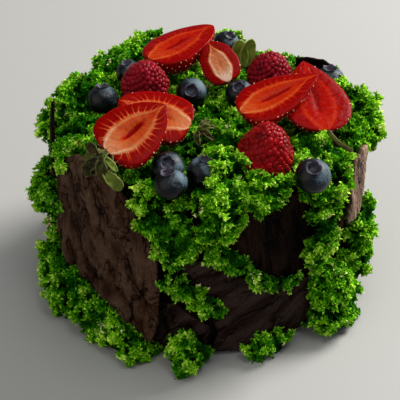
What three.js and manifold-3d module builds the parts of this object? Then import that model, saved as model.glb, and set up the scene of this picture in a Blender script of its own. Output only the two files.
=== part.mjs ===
// A small round cake wrapped in thin wrinkled chocolate sheets and torn green sponge moss, with halved
// strawberries, raspberries and blueberries on top. Millimetres, +Z up, front towards -Y, foot at z = 0.
import * as THREE from "three";
import { SimplexNoise } from "three/addons/math/SimplexNoise.js";
import { mergeVertices } from "three/addons/utils/BufferGeometryUtils.js";
import Module from "manifold-3d";

const wasm = await Module();
wasm.setup();

// Driving dimensions of the cake.
const CORE_RADIUS = 56;
const CORE_HEIGHT = 74;
const RIM_ROUND = 4;
const CORE_SIDES = 40;

// Gaps that keep neighbouring solids apart.
const GAP = 0.35;
const CORE_GAP = 0.5;
const CUT_GAP = 0.65;

// Chocolate sheets.
const SHEET_THICKNESS = 1.4;
const SHEET_WRINKLE = 1.1;
const LAYER_STEP = 3;
const SHEET_FLOOR = 0.4;

// Moss.
const BED_TOP = 81.5;
const BED_RADIUS = 51;
const BED_SLOPE = 4;
const BED_SIDES = 24;
const MOSS_STEP = 7.5;
const CRAG_SIZE = 5;

const NOISE_SEED = 20;

// Finishes.
const FINISH = {
  cake: new THREE.MeshStandardMaterial({ name: "cake", color: 0x2a1712, roughness: 0.9 }),
  chocolate: new THREE.MeshStandardMaterial({ name: "chocolate", color: 0x33211c, roughness: 0.55 }),
  moss: new THREE.MeshStandardMaterial({ name: "moss", color: 0x3f9a12, roughness: 0.95 }),
  strawberry: new THREE.MeshStandardMaterial({ name: "strawberry", color: 0xc5200f, roughness: 0.3 }),
  raspberry: new THREE.MeshStandardMaterial({ name: "raspberry", color: 0xa3122b, roughness: 0.4 }),
  blueberry: new THREE.MeshStandardMaterial({ name: "blueberry", color: 0x2c3444, roughness: 0.6 }),
  leaf: new THREE.MeshStandardMaterial({ name: "leaf", color: 0x6b7a2e, roughness: 0.8 }),
};

const cake = new THREE.Group();
cake.name = "bento_cake";

// Simplex noise from a seeded generator, so that every build is the same.
function seededRandom(seed) {
  let state = seed;
  return () => {
    state = (state * 1664525 + 1013904223) % 4294967296;
    return state / 4294967296;
  };
}

const noise = new SimplexNoise({ random: seededRandom(NOISE_SEED) });

function noiseAt(point, size, shift) {
  return noise.noise3d(point.x / size + shift, point.y / size - shift, point.z / size + 2 * shift);
}

// Value of a smooth curve through rows of numbers, with t from 0 to 1.
function splineAt(rows, t) {
  const span = (rows.length - 1) * t;
  const start = Math.min(Math.floor(span), rows.length - 2);
  const f = span - start;
  const row = (k) => rows[THREE.MathUtils.clamp(k, 0, rows.length - 1)];
  return rows[0].map((_, c) => {
    const [a, b, d, e] = [row(start - 1)[c], row(start)[c], row(start + 1)[c], row(start + 2)[c]];
    const slopeB = (d - a) / 2;
    const slopeD = (e - b) / 2;
    const f2 = f * f;
    const f3 = f2 * f;
    const blend = (2 * f3 - 3 * f2 + 1) * b + (3 * f2 - 2 * f3) * d;
    return blend + (f3 - 2 * f2 + f) * slopeB + (f3 - f2) * slopeD;
  });
}

// Point on the side, from an azimuth in degrees (0 at the front, 90 at +X), a radius and a height.
function sidePoint(azimuth, radius, z) {
  const angle = THREE.MathUtils.degToRad(azimuth);
  return new THREE.Vector3(radius * Math.sin(angle), -radius * Math.cos(angle), z);
}

// Point over the cake's skin: v runs up the side, round the rim and in across the top, and out is the
// distance from the core.
function skinPoint(azimuth, v, out) {
  const straight = CORE_HEIGHT - RIM_ROUND;
  const roundLength = (RIM_ROUND * Math.PI) / 2;
  if (v <= straight) return sidePoint(azimuth, CORE_RADIUS + out, v);
  if (v <= straight + roundLength) {
    const turn = (v - straight) / RIM_ROUND;
    const reach = RIM_ROUND + out;
    const radius = CORE_RADIUS - RIM_ROUND + reach * Math.cos(turn);
    return sidePoint(azimuth, radius, straight + reach * Math.sin(turn));
  }
  const inward = v - straight - roundLength;
  return sidePoint(azimuth, CORE_RADIUS - RIM_ROUND - inward, CORE_HEIGHT + out);
}

// Millimetres of arc in one degree of azimuth at v.
function arcPerDegree(v) {
  const edge = CORE_HEIGHT - RIM_ROUND + (RIM_ROUND * Math.PI) / 2;
  const radius = v < edge ? CORE_RADIUS : Math.max(12, CORE_RADIUS - RIM_ROUND - (v - edge));
  return THREE.MathUtils.degToRad(radius);
}

function buildGeometry(points, faces) {
  let volume = 0;
  const normal = new THREE.Vector3();
  for (let i = 0; i < faces.length; i += 3) {
    normal.crossVectors(points[faces[i]], points[faces[i + 1]]);
    volume += normal.dot(points[faces[i + 2]]);
  }
  const outward = volume > 0 ? faces : [...faces].reverse();
  const geometry = new THREE.BufferGeometry().setFromPoints(points);
  geometry.setIndex(outward);
  return geometry;
}

// Closed solid through rings of points, with a pole at each end.
function ringSolid(rings, firstPole, lastPole) {
  const count = rings[0].length;
  const points = [...rings.flat(), firstPole, lastPole];
  const last = points.length - 1;
  const faces = [];
  for (let j = 0; j < count; j++) {
    const k = (j + 1) % count;
    for (let base = 0; base < (rings.length - 1) * count; base += count) {
      faces.push(base + j, base + k, base + count + j);
      faces.push(base + k, base + count + k, base + count + j);
    }
    const end = (rings.length - 1) * count;
    faces.push(last - 1, k, j);
    faces.push(last, end + j, end + k);
  }
  return buildGeometry(points, faces);
}

// Thin solid between two grids of points, both split into the same triangles.
function slabSolid(front, back) {
  const columns = front.length;
  const rows = front[0].length;
  const points = [...front.flat(), ...back.flat()];
  const offset = columns * rows;
  const at = (i, j) => i * rows + j;
  const faces = [];
  for (let i = 0; i < columns - 1; i++) {
    for (let j = 0; j < rows - 1; j++) {
      const [a, b, c, d] = [at(i, j), at(i + 1, j), at(i, j + 1), at(i + 1, j + 1)];
      faces.push(a, b, c, b, d, c);
      faces.push(a + offset, c + offset, b + offset, b + offset, c + offset, d + offset);
    }
  }
  const border = [];
  for (let i = 0; i < columns - 1; i++) border.push(at(i, 0));
  for (let j = 0; j < rows - 1; j++) border.push(at(columns - 1, j));
  for (let i = columns - 1; i > 0; i--) border.push(at(i, rows - 1));
  for (let j = rows - 1; j > 0; j--) border.push(at(0, j));
  border.forEach((a, k) => {
    const b = border[(k + 1) % border.length];
    faces.push(a, a + offset, b, b, a + offset, b + offset);
  });
  return buildGeometry(points, faces);
}

function toSolid(geometry) {
  const bare = geometry.clone();
  bare.deleteAttribute("normal");
  bare.deleteAttribute("uv");
  const merged = mergeVertices(bare, 1e-4);
  return new wasm.Manifold(
    new wasm.Mesh({
      numProp: 3,
      vertProperties: new Float32Array(merged.attributes.position.array),
      triVerts: new Uint32Array(merged.index.array),
    }),
  );
}

function toGeometry(solid) {
  const { vertProperties, triVerts } = solid.getMesh();
  const geometry = new THREE.BufferGeometry();
  geometry.setAttribute("position", new THREE.BufferAttribute(new Float32Array(vertProperties), 3));
  geometry.setIndex(new THREE.BufferAttribute(new Uint32Array(triVerts), 1));
  return geometry;
}

// A copy with every vertex moved out along its normal.
function grownSolid(geometry, gap) {
  const grown = geometry.clone();
  grown.computeVertexNormals();
  const { position, normal } = grown.attributes;
  for (let i = 0; i < position.count; i++) {
    position.setXYZ(
      i,
      position.getX(i) + gap * normal.getX(i),
      position.getY(i) + gap * normal.getY(i),
      position.getZ(i) + gap * normal.getZ(i),
    );
  }
  return toSolid(grown);
}

// The largest piece of a solid once its neighbours are cut away, with any scraps dropped.
function cutAround(geometry, cutters) {
  let solid = toSolid(geometry);
  for (const cutter of cutters) solid = solid.subtract(cutter);
  const pieces = solid.decompose().sort((a, b) => b.volume() - a.volume());
  return toGeometry(pieces[0]);
}

function addMesh(name, geometry, finish) {
  const mesh = new THREE.Mesh(geometry, finish);
  mesh.name = name;
  cake.add(mesh);
  return mesh;
}

// Solids that later pieces are cut around.
const cutters = [];

// Places a piece by its position and rotation, and keeps a slightly larger copy as a cutter.
function placePiece(name, geometry, grown, finish, position, rotation) {
  const mesh = addMesh(name, geometry, finish);
  mesh.position.copy(position);
  mesh.quaternion.copy(rotation);
  mesh.updateMatrix();
  cutters.push(toSolid(grown.clone().applyMatrix4(mesh.matrix)));
}

function circleAt(radius, z, sides) {
  return Array.from({ length: sides }, (_, j) => {
    const turn = (2 * Math.PI * j) / sides;
    return new THREE.Vector3(radius * Math.cos(turn), radius * Math.sin(turn), z);
  });
}

// Cake core: one straight drum with a rounded top edge.
function makeCore() {
  const rings = [circleAt(CORE_RADIUS, 0, CORE_SIDES)];
  for (const degrees of [0, 45, 90]) {
    const angle = THREE.MathUtils.degToRad(degrees);
    const across = CORE_RADIUS - RIM_ROUND + RIM_ROUND * Math.cos(angle);
    rings.push(circleAt(across, CORE_HEIGHT - RIM_ROUND + RIM_ROUND * Math.sin(angle), CORE_SIDES));
  }
  const geometry = ringSolid(rings, new THREE.Vector3(0, 0, 0), new THREE.Vector3(0, 0, CORE_HEIGHT));
  addMesh("cake_core", geometry, FINISH.cake);
  cutters.push(grownSolid(geometry, CORE_GAP));
}

// Strawberry half: the cut face lies in z = 0, the calyx end at y = 0 and the tip at y = length.
const HALF_STATIONS = 8;
const HALF_ARC = 7;
const PLAIN_STATIONS = 6;
const PLAIN_ARC = 5;
const PLAIN_GROW = 1.3;

function halfWidthAt(t, { halfWidth, peak, taper }) {
  const calyxPower = (taper * peak) / (1 - peak);
  const shape = (s) => Math.pow(s, calyxPower) * Math.pow(1 - s, taper);
  return (halfWidth * shape(t)) / shape(peak);
}

function strawberryHalf(size, stations, arc, grow) {
  const { length, halfWidth, depth } = size;
  const rings = [];
  for (let i = 0; i < stations; i++) {
    const t = 0.5 - 0.5 * Math.cos(Math.PI * (0.1 + (0.8 * i) / (stations - 1)));
    const width = halfWidthAt(t, size);
    const ring = [];
    for (let j = 0; j <= arc; j++) {
      const angle = (Math.PI * j) / arc;
      const sink = ((depth / halfWidth) * width + grow) * Math.sin(angle);
      ring.push(new THREE.Vector3((width + grow) * Math.cos(angle), t * length, -sink));
    }
    const hollow = 0.5 * Math.sin(Math.PI * t);
    for (const share of [-0.5, 0, 0.5]) {
      const dip = share === 0 ? hollow : 0.1;
      ring.push(new THREE.Vector3(share * width, t * length, grow - dip));
    }
    for (const end of [0, arc]) ring[end].z += grow;
    rings.push(ring);
  }
  const middle = -0.25 * depth;
  return ringSolid(rings, new THREE.Vector3(0, -grow, middle), new THREE.Vector3(0, length + grow, middle));
}

// Calyx end, tip and the way the cut face looks, for each half. The half is widest at peak, a share of its
// length, and a larger taper gives it a sharper tip.
const STRAWBERRY_HALVES = [
  {
    calyx: [-23.1, 13.5, 94.2], tip: [2.2, 33.9, 98], face: [-0.15, 0, 1],
    halfWidth: 11.5, depth: 10, peak: 0.36, taper: 0.61,
  },
  {
    calyx: [8.5, 3.6, 90.2], tip: [0.4, 18.4, 99], face: [-0.1, -0.55, 0.83],
    halfWidth: 7.6, depth: 6, peak: 0.42, taper: 0.48,
  },
  {
    calyx: [-37.2, -47.2, 92.5], tip: [-15.8, -30.1, 101.7], face: [-0.05, -0.42, 0.9],
    halfWidth: 12.8, depth: 9, peak: 0.3, taper: 0.71,
  },
  {
    calyx: [-7, -25.8, 89.3], tip: [-34.1, -17.4, 95.3], face: [0.1, -0.35, 0.93],
    halfWidth: 11.1, depth: 8, peak: 0.3, taper: 0.56,
  },
  {
    calyx: [12.4, -22.8, 93.2], tip: [43.2, -5.1, 99.7], face: [-0.05, -0.2, 0.97],
    halfWidth: 10.2, depth: 8, peak: 0.3, taper: 0.9,
  },
  {
    calyx: [44.9, -26.2, 87], tip: [37.6, 5.9, 98.4], face: [0.15, -0.3, 0.94],
    halfWidth: 13.6, depth: 6, peak: 0.36, taper: 0.9,
  },
];

function makeStrawberries() {
  STRAWBERRY_HALVES.forEach((half, index) => {
    const calyx = new THREE.Vector3(...half.calyx);
    const along = new THREE.Vector3(...half.tip).sub(calyx);
    const size = { ...half, length: along.length() };
    along.normalize();
    const face = new THREE.Vector3(...half.face);
    face.addScaledVector(along, -face.dot(along)).normalize();
    const side = new THREE.Vector3().crossVectors(along, face);
    const basis = new THREE.Matrix4().makeBasis(side, along, face);
    const rotation = new THREE.Quaternion().setFromRotationMatrix(basis);
    const grown = strawberryHalf(size, PLAIN_STATIONS, PLAIN_ARC, PLAIN_GROW);
    const move = new THREE.Matrix4().compose(calyx, rotation, new THREE.Vector3(1, 1, 1));
    const local = cutters.map((cutter) => toSolid(toGeometry(cutter).applyMatrix4(move.clone().invert())));
    const geometry = cutAround(strawberryHalf(size, HALF_STATIONS, HALF_ARC, 0), local);
    placePiece(`strawberry_${index + 1}`, geometry, grown, FINISH.strawberry, calyx, rotation);
  });
}

// Raspberry: a dome of staggered drupelets round +Z, with its widest part at z = 0.
const DRUPELET_ROWS = 5;
const DRUPELETS_ROUND = 10;
const DRUPELET_DEPTH = 0.9;
const BALL_ROOM = 0.9;
const BASE_ANGLE = -38;
const TOP_ANGLE = 78;

function raspberry({ radius, height, taper }) {
  const rings = [];
  const steps = 2 * DRUPELET_ROWS;
  for (let i = 0; i <= steps; i++) {
    const angle = THREE.MathUtils.degToRad(BASE_ANGLE + ((TOP_ANGLE - BASE_ANGLE) * i) / steps);
    const row = Math.floor(i / 2);
    const crest = i % 2;
    const ring = [];
    for (let j = 0; j < 2 * DRUPELETS_ROUND; j++) {
      const turn = (Math.PI * (j + row)) / DRUPELETS_ROUND;
      const bump = DRUPELET_DEPTH * (crest && j % 2 ? 1 : crest || j % 2 ? 0.35 : 0);
      const reach = (radius + bump) * Math.cos(angle) * (1 - taper * Math.max(0, Math.sin(angle)));
      const rise = ((angle > 0 ? height : 0.75 * radius) + bump) * Math.sin(angle);
      ring.push(new THREE.Vector3(reach * Math.cos(turn), reach * Math.sin(turn), rise));
    }
    rings.push(ring);
  }
  const hollow = new THREE.Vector3(0, 0, rings[0][0].z + 2.5);
  return ringSolid(rings, hollow, new THREE.Vector3(0, 0, height + DRUPELET_DEPTH));
}

// A plain ball that holds a berry with room to spare.
function plainBall(radius, top, bottom) {
  const rings = [-50, -18, 18, 50].map((degrees) => {
    const angle = THREE.MathUtils.degToRad(degrees);
    return circleAt(radius * Math.cos(angle), (degrees > 0 ? top : bottom) * Math.sin(angle), 9);
  });
  return ringSolid(rings, new THREE.Vector3(0, 0, -bottom), new THREE.Vector3(0, 0, top));
}

// Centre, tip direction, half sizes and how much each raspberry narrows to its tip.
const RASPBERRIES = [
  { at: [-24.9, 2.3, 89.6], tip: [0.05, -0.25, 1], radius: 9.6, height: 11, taper: 0.2 },
  { at: [25, 12.8, 87.4], tip: [0.1, -0.2, 1], radius: 9.3, height: 10.5, taper: 0.2 },
  { at: [21.2, -41.2, 87.5], tip: [0.12, 0.05, 1], radius: 11, height: 12.8, taper: 0.26 },
];

function turnUpTo(direction) {
  const wanted = new THREE.Vector3(...direction).normalize();
  return new THREE.Quaternion().setFromUnitVectors(new THREE.Vector3(0, 0, 1), wanted);
}

function makeRaspberries() {
  RASPBERRIES.forEach((berry, index) => {
    const room = 2 * DRUPELET_DEPTH + BALL_ROOM;
    const grown = plainBall(berry.radius + room, berry.height + room, 0.62 * berry.radius + room);
    const position = new THREE.Vector3(...berry.at);
    const name = `raspberry_${index + 1}`;
    placePiece(name, raspberry(berry), grown, FINISH.raspberry, position, turnUpTo(berry.tip));
  });
}

// Blueberry: a slightly flat ball round +Z with a five-pointed crown round a small hollow.
const BERRY_SIDES = 10;
const BERRY_ANGLES = [-56, -18, 18, 56];
const BERRY_SQUASH = 0.9;
const CROWN_RADIUS = 0.36;
const CROWN_POINT = 0.12;

function blueberry(radius) {
  const rings = BERRY_ANGLES.map((degrees) => {
    const angle = THREE.MathUtils.degToRad(degrees);
    return circleAt(radius * Math.cos(angle), BERRY_SQUASH * radius * Math.sin(angle), BERRY_SIDES);
  });
  const rim = circleAt(CROWN_RADIUS * radius, BERRY_SQUASH * radius, BERRY_SIDES);
  for (let j = 1; j < BERRY_SIDES; j += 2) {
    rim[j].multiplyScalar(1 + CROWN_POINT);
  }
  rings.push(rim, circleAt(0.24 * radius, 0.76 * radius, BERRY_SIDES));
  return ringSolid(
    rings,
    new THREE.Vector3(0, 0, -BERRY_SQUASH * radius),
    new THREE.Vector3(0, 0, 0.76 * radius),
  );
}

// Centre, crown direction and radius of each blueberry.
const BLUEBERRIES = [
  { at: [-41.2, -4.5, 87], crown: [0, 0.3, 1], radius: 6.3 },
  { at: [-6.4, -1.2, 88], crown: [0, -0.72, 0.69], radius: 6 },
  { at: [-15, -46.4, 84.6], crown: [0, -0.56, 0.82], radius: 6.2 },
  { at: [-13.6, -58.2, 85.8], crown: [-0.23, 0.05, 0.97], radius: 6.2 },
  { at: [-1.9, -49.7, 85], crown: [0.2, 0.12, 0.97], radius: 6.2 },
  { at: [38.6, -50.1, 83.5], crown: [-0.03, -0.4, 0.92], radius: 6.7 },
  { at: [12.6, 0.6, 86.4], crown: [-0.1, -0.42, 0.89], radius: 5.7 },
  { at: [7.8, 34.2, 89], crown: [0.3, -0.16, 0.94], radius: 5.6 },
  { at: [48.8, 9.6, 86.6], crown: [0, 0.1, 1], radius: 6.4 },
  { at: [-31.9, 18, 85.5], crown: [-0.2, 0, 1], radius: 5.2 },
];

function makeBlueberries() {
  BLUEBERRIES.forEach(({ at, crown, radius }, index) => {
    const name = `blueberry_${index + 1}`;
    const room = radius + BALL_ROOM;
    const grown = plainBall(room, room, room);
    placePiece(name, blueberry(radius), grown, FINISH.blueberry, new THREE.Vector3(...at), turnUpTo(crown));
  });
}

// Chocolate sheets: each is a patch between four edge curves in azimuth and height. Corners run from top
// left to top right, bottom right and bottom left, and lift is how far each corner stands off the cake.
const SHEETS = [
  {
    name: "sheet_left_front",
    corners: [[-76, 63], [-24, 69], [-18, 18], [-83, 27]],
    top: [[-66, 72], [-54, 83], [-43, 80], [-34, 77.5]],
    right: [[-20, 55], [-18, 44], [-17.5, 31]],
    bottom: [[-23, 7], [-41, 21], [-60, 22]],
    left: [[-83, 45]],
    layer: 1,
    lift: [0, 0, 1.5, 2],
    columns: 10,
    rows: 8,
  },
  {
    name: "sheet_corner",
    corners: [[-30, 26], [-12, 27], [-1, 5], [-26, 0.5]],
    top: [],
    right: [[0.5, 16]],
    bottom: [[-15, 0.5]],
    left: [[-32, 12]],
    layer: 0,
    lift: [0, 1, 2, 0],
    columns: 5,
    rows: 4,
  },
  {
    name: "sheet_front_low",
    corners: [[-10, 50], [47, 27], [49, 8], [1.5, 3]],
    top: [[2, 48.5], [12, 42], [22, 34.5], [35, 29]],
    right: [[49.5, 18]],
    bottom: [[36, 3], [20, 1]],
    left: [[-9.5, 38], [-3, 29], [4, 15.5]],
    layer: 0,
    lift: [0, 0, 0.5, 0],
    columns: 7,
    rows: 6,
  },
  {
    name: "sheet_front_high",
    corners: [[-14, 66], [48, 71], [45, 31], [-12, 53]],
    top: [[6, 74], [30, 74]],
    right: [[46.5, 50]],
    bottom: [[34, 32.5], [22, 38], [12, 45.5], [2, 52]],
    left: [[-14, 60]],
    layer: 0,
    lift: [0, 0, 0, 0],
    columns: 7,
    rows: 5,
  },
  {
    name: "sheet_right_bark",
    corners: [[61, 77], [85, 69], [84, 45], [60, 46]],
    top: [[73, 75]],
    right: [],
    bottom: [[73, 43]],
    left: [[59.5, 62]],
    layer: 2,
    lift: [0, 0, 0, 0],
    columns: 5,
    rows: 5,
  },
  {
    name: "sheet_right_low",
    corners: [[51.5, 56], [88, 58], [86, 8], [54, 9]],
    top: [[66, 61]],
    right: [],
    bottom: [[70, 5]],
    left: [[52, 30]],
    layer: 0,
    lift: [0, 0, 1, 0],
    columns: 5,
    rows: 5,
  },
  {
    name: "sheet_back_right",
    corners: [[98, 50], [160, 66], [156, 12], [100, 6]],
    top: [[120, 60], [142, 72]],
    right: [[163, 40]],
    bottom: [[128, 2]],
    left: [[96, 28]],
    layer: 0,
    lift: [0, 1, 2, 0],
    columns: 7,
    rows: 5,
  },
  {
    name: "sheet_back",
    corners: [[166, 62], [222, 69], [226, 20], [168, 4]],
    top: [[184, 73], [204, 72]],
    right: [[229, 46]],
    bottom: [[200, 9]],
    left: [[163, 32]],
    layer: 1,
    lift: [1, 0, 2, 0],
    columns: 7,
    rows: 5,
  },
  {
    name: "sheet_back_left",
    corners: [[231, 66], [270, 60], [268, 4], [222, 3]],
    top: [[250, 72]],
    right: [[272, 32]],
    bottom: [[244, 0.5]],
    left: [[228, 36]],
    layer: 0,
    lift: [0, 1, 0, 0],
    columns: 5,
    rows: 5,
  },
];

function patchAt(sheet, u, v) {
  const [tl, tr, br, bl] = sheet.corners;
  const top = splineAt([tl, ...sheet.top, tr], u);
  const bottom = splineAt([bl, ...[...sheet.bottom].reverse(), br], u);
  const left = splineAt([bl, ...[...sheet.left].reverse(), tl], v);
  const right = splineAt([br, ...[...sheet.right].reverse(), tr], v);
  return [0, 1].map((c) => {
    const corner = (1 - u) * ((1 - v) * bl[c] + v * tl[c]) + u * ((1 - v) * br[c] + v * tr[c]);
    return (1 - v) * bottom[c] + v * top[c] + (1 - u) * left[c] + u * right[c] - corner;
  });
}

function liftAt([tl, tr, br, bl], u, v) {
  const fade = (share) => Math.pow(Math.max(0, share), 2);
  const upper = tl * fade(1 - u) + tr * fade(u);
  const lower = bl * fade(1 - u) + br * fade(u);
  return upper * fade(v) + lower * fade(1 - v);
}

// Crumpled relief from 0 to the full wrinkle, in creases that run steeply up the sheet.
function wrinkleAt(azimuth, z) {
  const across = azimuth / 5.5 + z / 60;
  const fold = 1 - Math.abs(noise.noise(across, z / 26));
  const fine = noise.noise(azimuth / 3 + 40, z / 9);
  return SHEET_WRINKLE * THREE.MathUtils.clamp(0.75 * fold + 0.2 * fine, 0, 1);
}

function sheetGrid(sheet, columns, rows, place) {
  return Array.from({ length: columns + 1 }, (_, i) =>
    Array.from({ length: rows + 1 }, (_, j) => place(i / columns, j / rows)),
  );
}

function sheetSolid(sheet) {
  const inner = CORE_RADIUS + GAP + sheet.layer * LAYER_STEP;
  const point = (u, v, out) => {
    const [azimuth, z] = patchAt(sheet, u, v);
    const edge = Math.min(u, 1 - u, v, 1 - v) < 1e-6 ? 1 : 0;
    const ragged = edge * noise.noise(azimuth / 4, z / 5 + 9);
    const height = Math.max(SHEET_FLOOR, z + 0.9 * ragged);
    const radius = inner + liftAt(sheet.lift, u, v) + wrinkleAt(azimuth, z) + out;
    return sidePoint(azimuth + 0.8 * ragged, radius, height);
  };
  const front = sheetGrid(sheet, sheet.columns, sheet.rows, (u, v) => point(u, v, SHEET_THICKNESS));
  const back = sheetGrid(sheet, sheet.columns, sheet.rows, (u, v) => point(u, v, 0));
  return slabSolid(front, back);
}

// A plain, slightly larger sheet, for cutting the moss that lies on it.
const CUTTER_SPREAD = 0.065;
const CUTTER_SHARE = 0.6;

function sheetCutter(sheet) {
  const inner = CORE_RADIUS + sheet.layer * LAYER_STEP - GAP;
  const outer = SHEET_THICKNESS + SHEET_WRINKLE + 4 * GAP;
  const point = (u, v, out) => {
    const wide = (share) => share * (1 + 2 * CUTTER_SPREAD) - CUTTER_SPREAD;
    const [azimuth, z] = patchAt(sheet, u, v);
    const [middleAzimuth, middleZ] = patchAt(sheet, 0.5, 0.5);
    const spreadAzimuth = middleAzimuth + (azimuth - middleAzimuth) * (1 + 2 * CUTTER_SPREAD);
    const spreadZ = middleZ + (z - middleZ) * (1 + 2 * CUTTER_SPREAD);
    return sidePoint(spreadAzimuth, inner + liftAt(sheet.lift, wide(u), wide(v)) + out, spreadZ);
  };
  const columns = Math.ceil(CUTTER_SHARE * sheet.columns);
  const rows = Math.ceil(CUTTER_SHARE * sheet.rows);
  const front = sheetGrid(sheet, columns, rows, (u, v) => point(u, v, outer));
  const back = sheetGrid(sheet, columns, rows, (u, v) => point(u, v, 0));
  return toSolid(slabSolid(front, back));
}

function makeSheets() {
  for (const sheet of SHEETS) {
    addMesh(sheet.name, sheetSolid(sheet), FINISH.chocolate);
    cutters.push(sheetCutter(sheet));
  }
}

// Thin blade from base to tip: leaves, sepals and broken shards of chocolate.
const BLADE_COLUMNS = 3;
const BLADE_ROWS = 2;

function bladeSolid({ base, tip, facing, width, thickness, bend, wave, outline }) {
  const start = new THREE.Vector3(...base);
  const along = new THREE.Vector3(...tip).sub(start);
  const length = along.length();
  along.normalize();
  const up = new THREE.Vector3(...facing);
  up.addScaledVector(along, -up.dot(along)).normalize();
  const side = new THREE.Vector3().crossVectors(along, up);
  const point = (u, v, offset) => {
    const across = (v - 0.5) * width * splineAt(outline.map((share) => [share]), u)[0];
    const rise = bend * Math.sin(Math.PI * u) + wave * Math.sin(3 * Math.PI * u) * (2 * v - 1) + offset;
    return start
      .clone()
      .addScaledVector(along, u * length)
      .addScaledVector(side, across)
      .addScaledVector(up, rise);
  };
  const grid = (offset) =>
    Array.from({ length: BLADE_COLUMNS + 1 }, (_, i) =>
      Array.from({ length: BLADE_ROWS + 1 }, (_, j) => point(i / BLADE_COLUMNS, j / BLADE_ROWS, offset)),
    );
  return slabSolid(grid(thickness / 2), grid(-thickness / 2));
}

const LEAF_OUTLINE = [0.5, 0.9, 1, 0.8, 0.55, 0.2];
const SHARD_OUTLINE = [0.8, 1, 0.75, 0.9, 0.45];

// Round stalk along a curve.
const STALK_STEPS = 7;
const STALK_SIDES = 6;

function stalkSolid(points, radius) {
  const curve = new THREE.CatmullRomCurve3(points.map((point) => new THREE.Vector3(...point)));
  const frames = curve.computeFrenetFrames(STALK_STEPS, false);
  const rings = Array.from({ length: STALK_STEPS + 1 }, (_, i) => {
    const centre = curve.getPointAt(i / STALK_STEPS);
    return Array.from({ length: STALK_SIDES }, (_, j) => {
      const turn = (2 * Math.PI * j) / STALK_SIDES;
      return centre
        .clone()
        .addScaledVector(frames.normals[i], radius * Math.cos(turn))
        .addScaledVector(frames.binormals[i], radius * Math.sin(turn));
    });
  });
  return ringSolid(rings, curve.getPointAt(0), curve.getPointAt(1));
}

// Each calyx is a few blades that are joined at their foot.
const CALYXES = [
  {
    name: "calyx_left",
    blades: [
      { base: [-41, -53, 93], tip: [-45.5, -53, 86.5], facing: [-0.5, -0.7, 0.5], width: 6, bend: 1 },
      { base: [-41, -53, 92.6], tip: [-30.5, -59, 84], facing: [0.2, -0.8, 0.6], width: 5.6, bend: 1 },
      { base: [-38.4, -48.8, 92.9], tip: [-43.5, -55, 93], facing: [-0.3, -0.3, 1], width: 5, bend: 0.2 },
    ],
  },
  {
    name: "calyx_back",
    blades: [
      { base: [14, 17, 87.5], tip: [12.6, 21.5, 98.5], facing: [0, -0.9, 0.4], width: 7, bend: -1 },
      { base: [14.6, 17.2, 87.5], tip: [18, 21.4, 99], facing: [0.2, -0.9, 0.4], width: 6.5, bend: -1 },
    ],
  },
  {
    name: "calyx_middle",
    blades: [
      { base: [-4, -29.5, 89], tip: [2.5, -33, 87], facing: [0, -0.3, 1], width: 3.4, bend: 1 },
      { base: [-4, -29, 89], tip: [0.5, -22.5, 89], facing: [0, -0.3, 1], width: 3.4, bend: 1.2 },
    ],
  },
];
const LEAF_THICKNESS = 0.9;
const LEAF_WAVE = 0.5;

function makeCalyxes() {
  const shared = { thickness: LEAF_THICKNESS, wave: LEAF_WAVE, outline: LEAF_OUTLINE };
  for (const { name, blades } of CALYXES) {
    const leaves = blades.map((blade) => bladeSolid({ ...blade, ...shared }));
    const joined = leaves.map(toSolid).reduce((all, leaf) => all.add(leaf));
    addMesh(name, cutAround(toGeometry(joined), cutters), FINISH.leaf);
    for (const leaf of leaves) cutters.push(grownSolid(leaf, CUT_GAP));
  }
}

const STALK_POINTS = [[45.5, -28.5, 88.5], [47.5, -31.5, 87.5], [50, -34.5, 86.5], [54, -37, 85.5]];

function makeStalk() {
  const stalk = stalkSolid(STALK_POINTS, 0.9);
  addMesh("stalk_right", cutAround(stalk, cutters), FINISH.leaf);
  cutters.push(grownSolid(stalk, CUT_GAP));
}

// Loose shards of chocolate that stand in the moss.
const SHARDS = [
  {
    name: "shard_left",
    base: [-60.5, -19, 60],
    tip: [-60.5, -7, 88],
    facing: [-1, -0.2, 0],
    width: 8,
    bend: 0.6,
  },
  {
    name: "shard_back_right",
    base: [36, 21.5, 86],
    tip: [52, 17, 86],
    facing: [0.1, 0.95, 0.2],
    width: 12,
    bend: 0.8,
  },
];

function makeShards() {
  for (const shard of SHARDS) {
    const blade = bladeSolid({ ...shard, thickness: 1.3, wave: 0.3, outline: SHARD_OUTLINE });
    addMesh(shard.name, cutAround(blade, cutters), FINISH.chocolate);
    cutters.push(grownSolid(blade, CUT_GAP));
  }
}

// Moss bed: a ragged disc on the core, lumpy on top.
const BED_RINGS = [0.26, 0.52, 0.76, 0.94];

function bedSolid() {
  const underside = CORE_HEIGHT + CORE_GAP;
  const ringAt = (share, heightOf) =>
    Array.from({ length: BED_SIDES }, (_, j) => {
      const azimuth = (360 * j) / BED_SIDES;
      const flat = sidePoint(azimuth, BED_RADIUS * share, 0);
      const ragged = share > 0.8 ? 2.2 * noiseAt(flat, 9, 3) : 0;
      return sidePoint(azimuth, BED_RADIUS * share + ragged, heightOf(flat));
    });
  const surface = (flat) => {
    const slope = BED_SLOPE * Math.pow(flat.length() / BED_RADIUS, 4);
    return BED_TOP - slope + 1.6 * noiseAt(flat, 8, 1) + 1.4 * noiseAt(flat, 20, 5);
  };
  const rings = BED_RINGS.map((share) => ringAt(share, surface));
  rings.push(ringAt(1, () => 0.5 * (BED_TOP - BED_SLOPE + underside)));
  rings.push(ringAt(1, () => underside));
  return ringSolid(rings, new THREE.Vector3(0, 0, BED_TOP), new THREE.Vector3(0, 0, underside));
}

function makeBed() {
  const bed = bedSolid();
  addMesh("moss_bed", cutAround(bed, cutters), FINISH.moss);
  cutters.push(grownSolid(bed, CUT_GAP));
}

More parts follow.
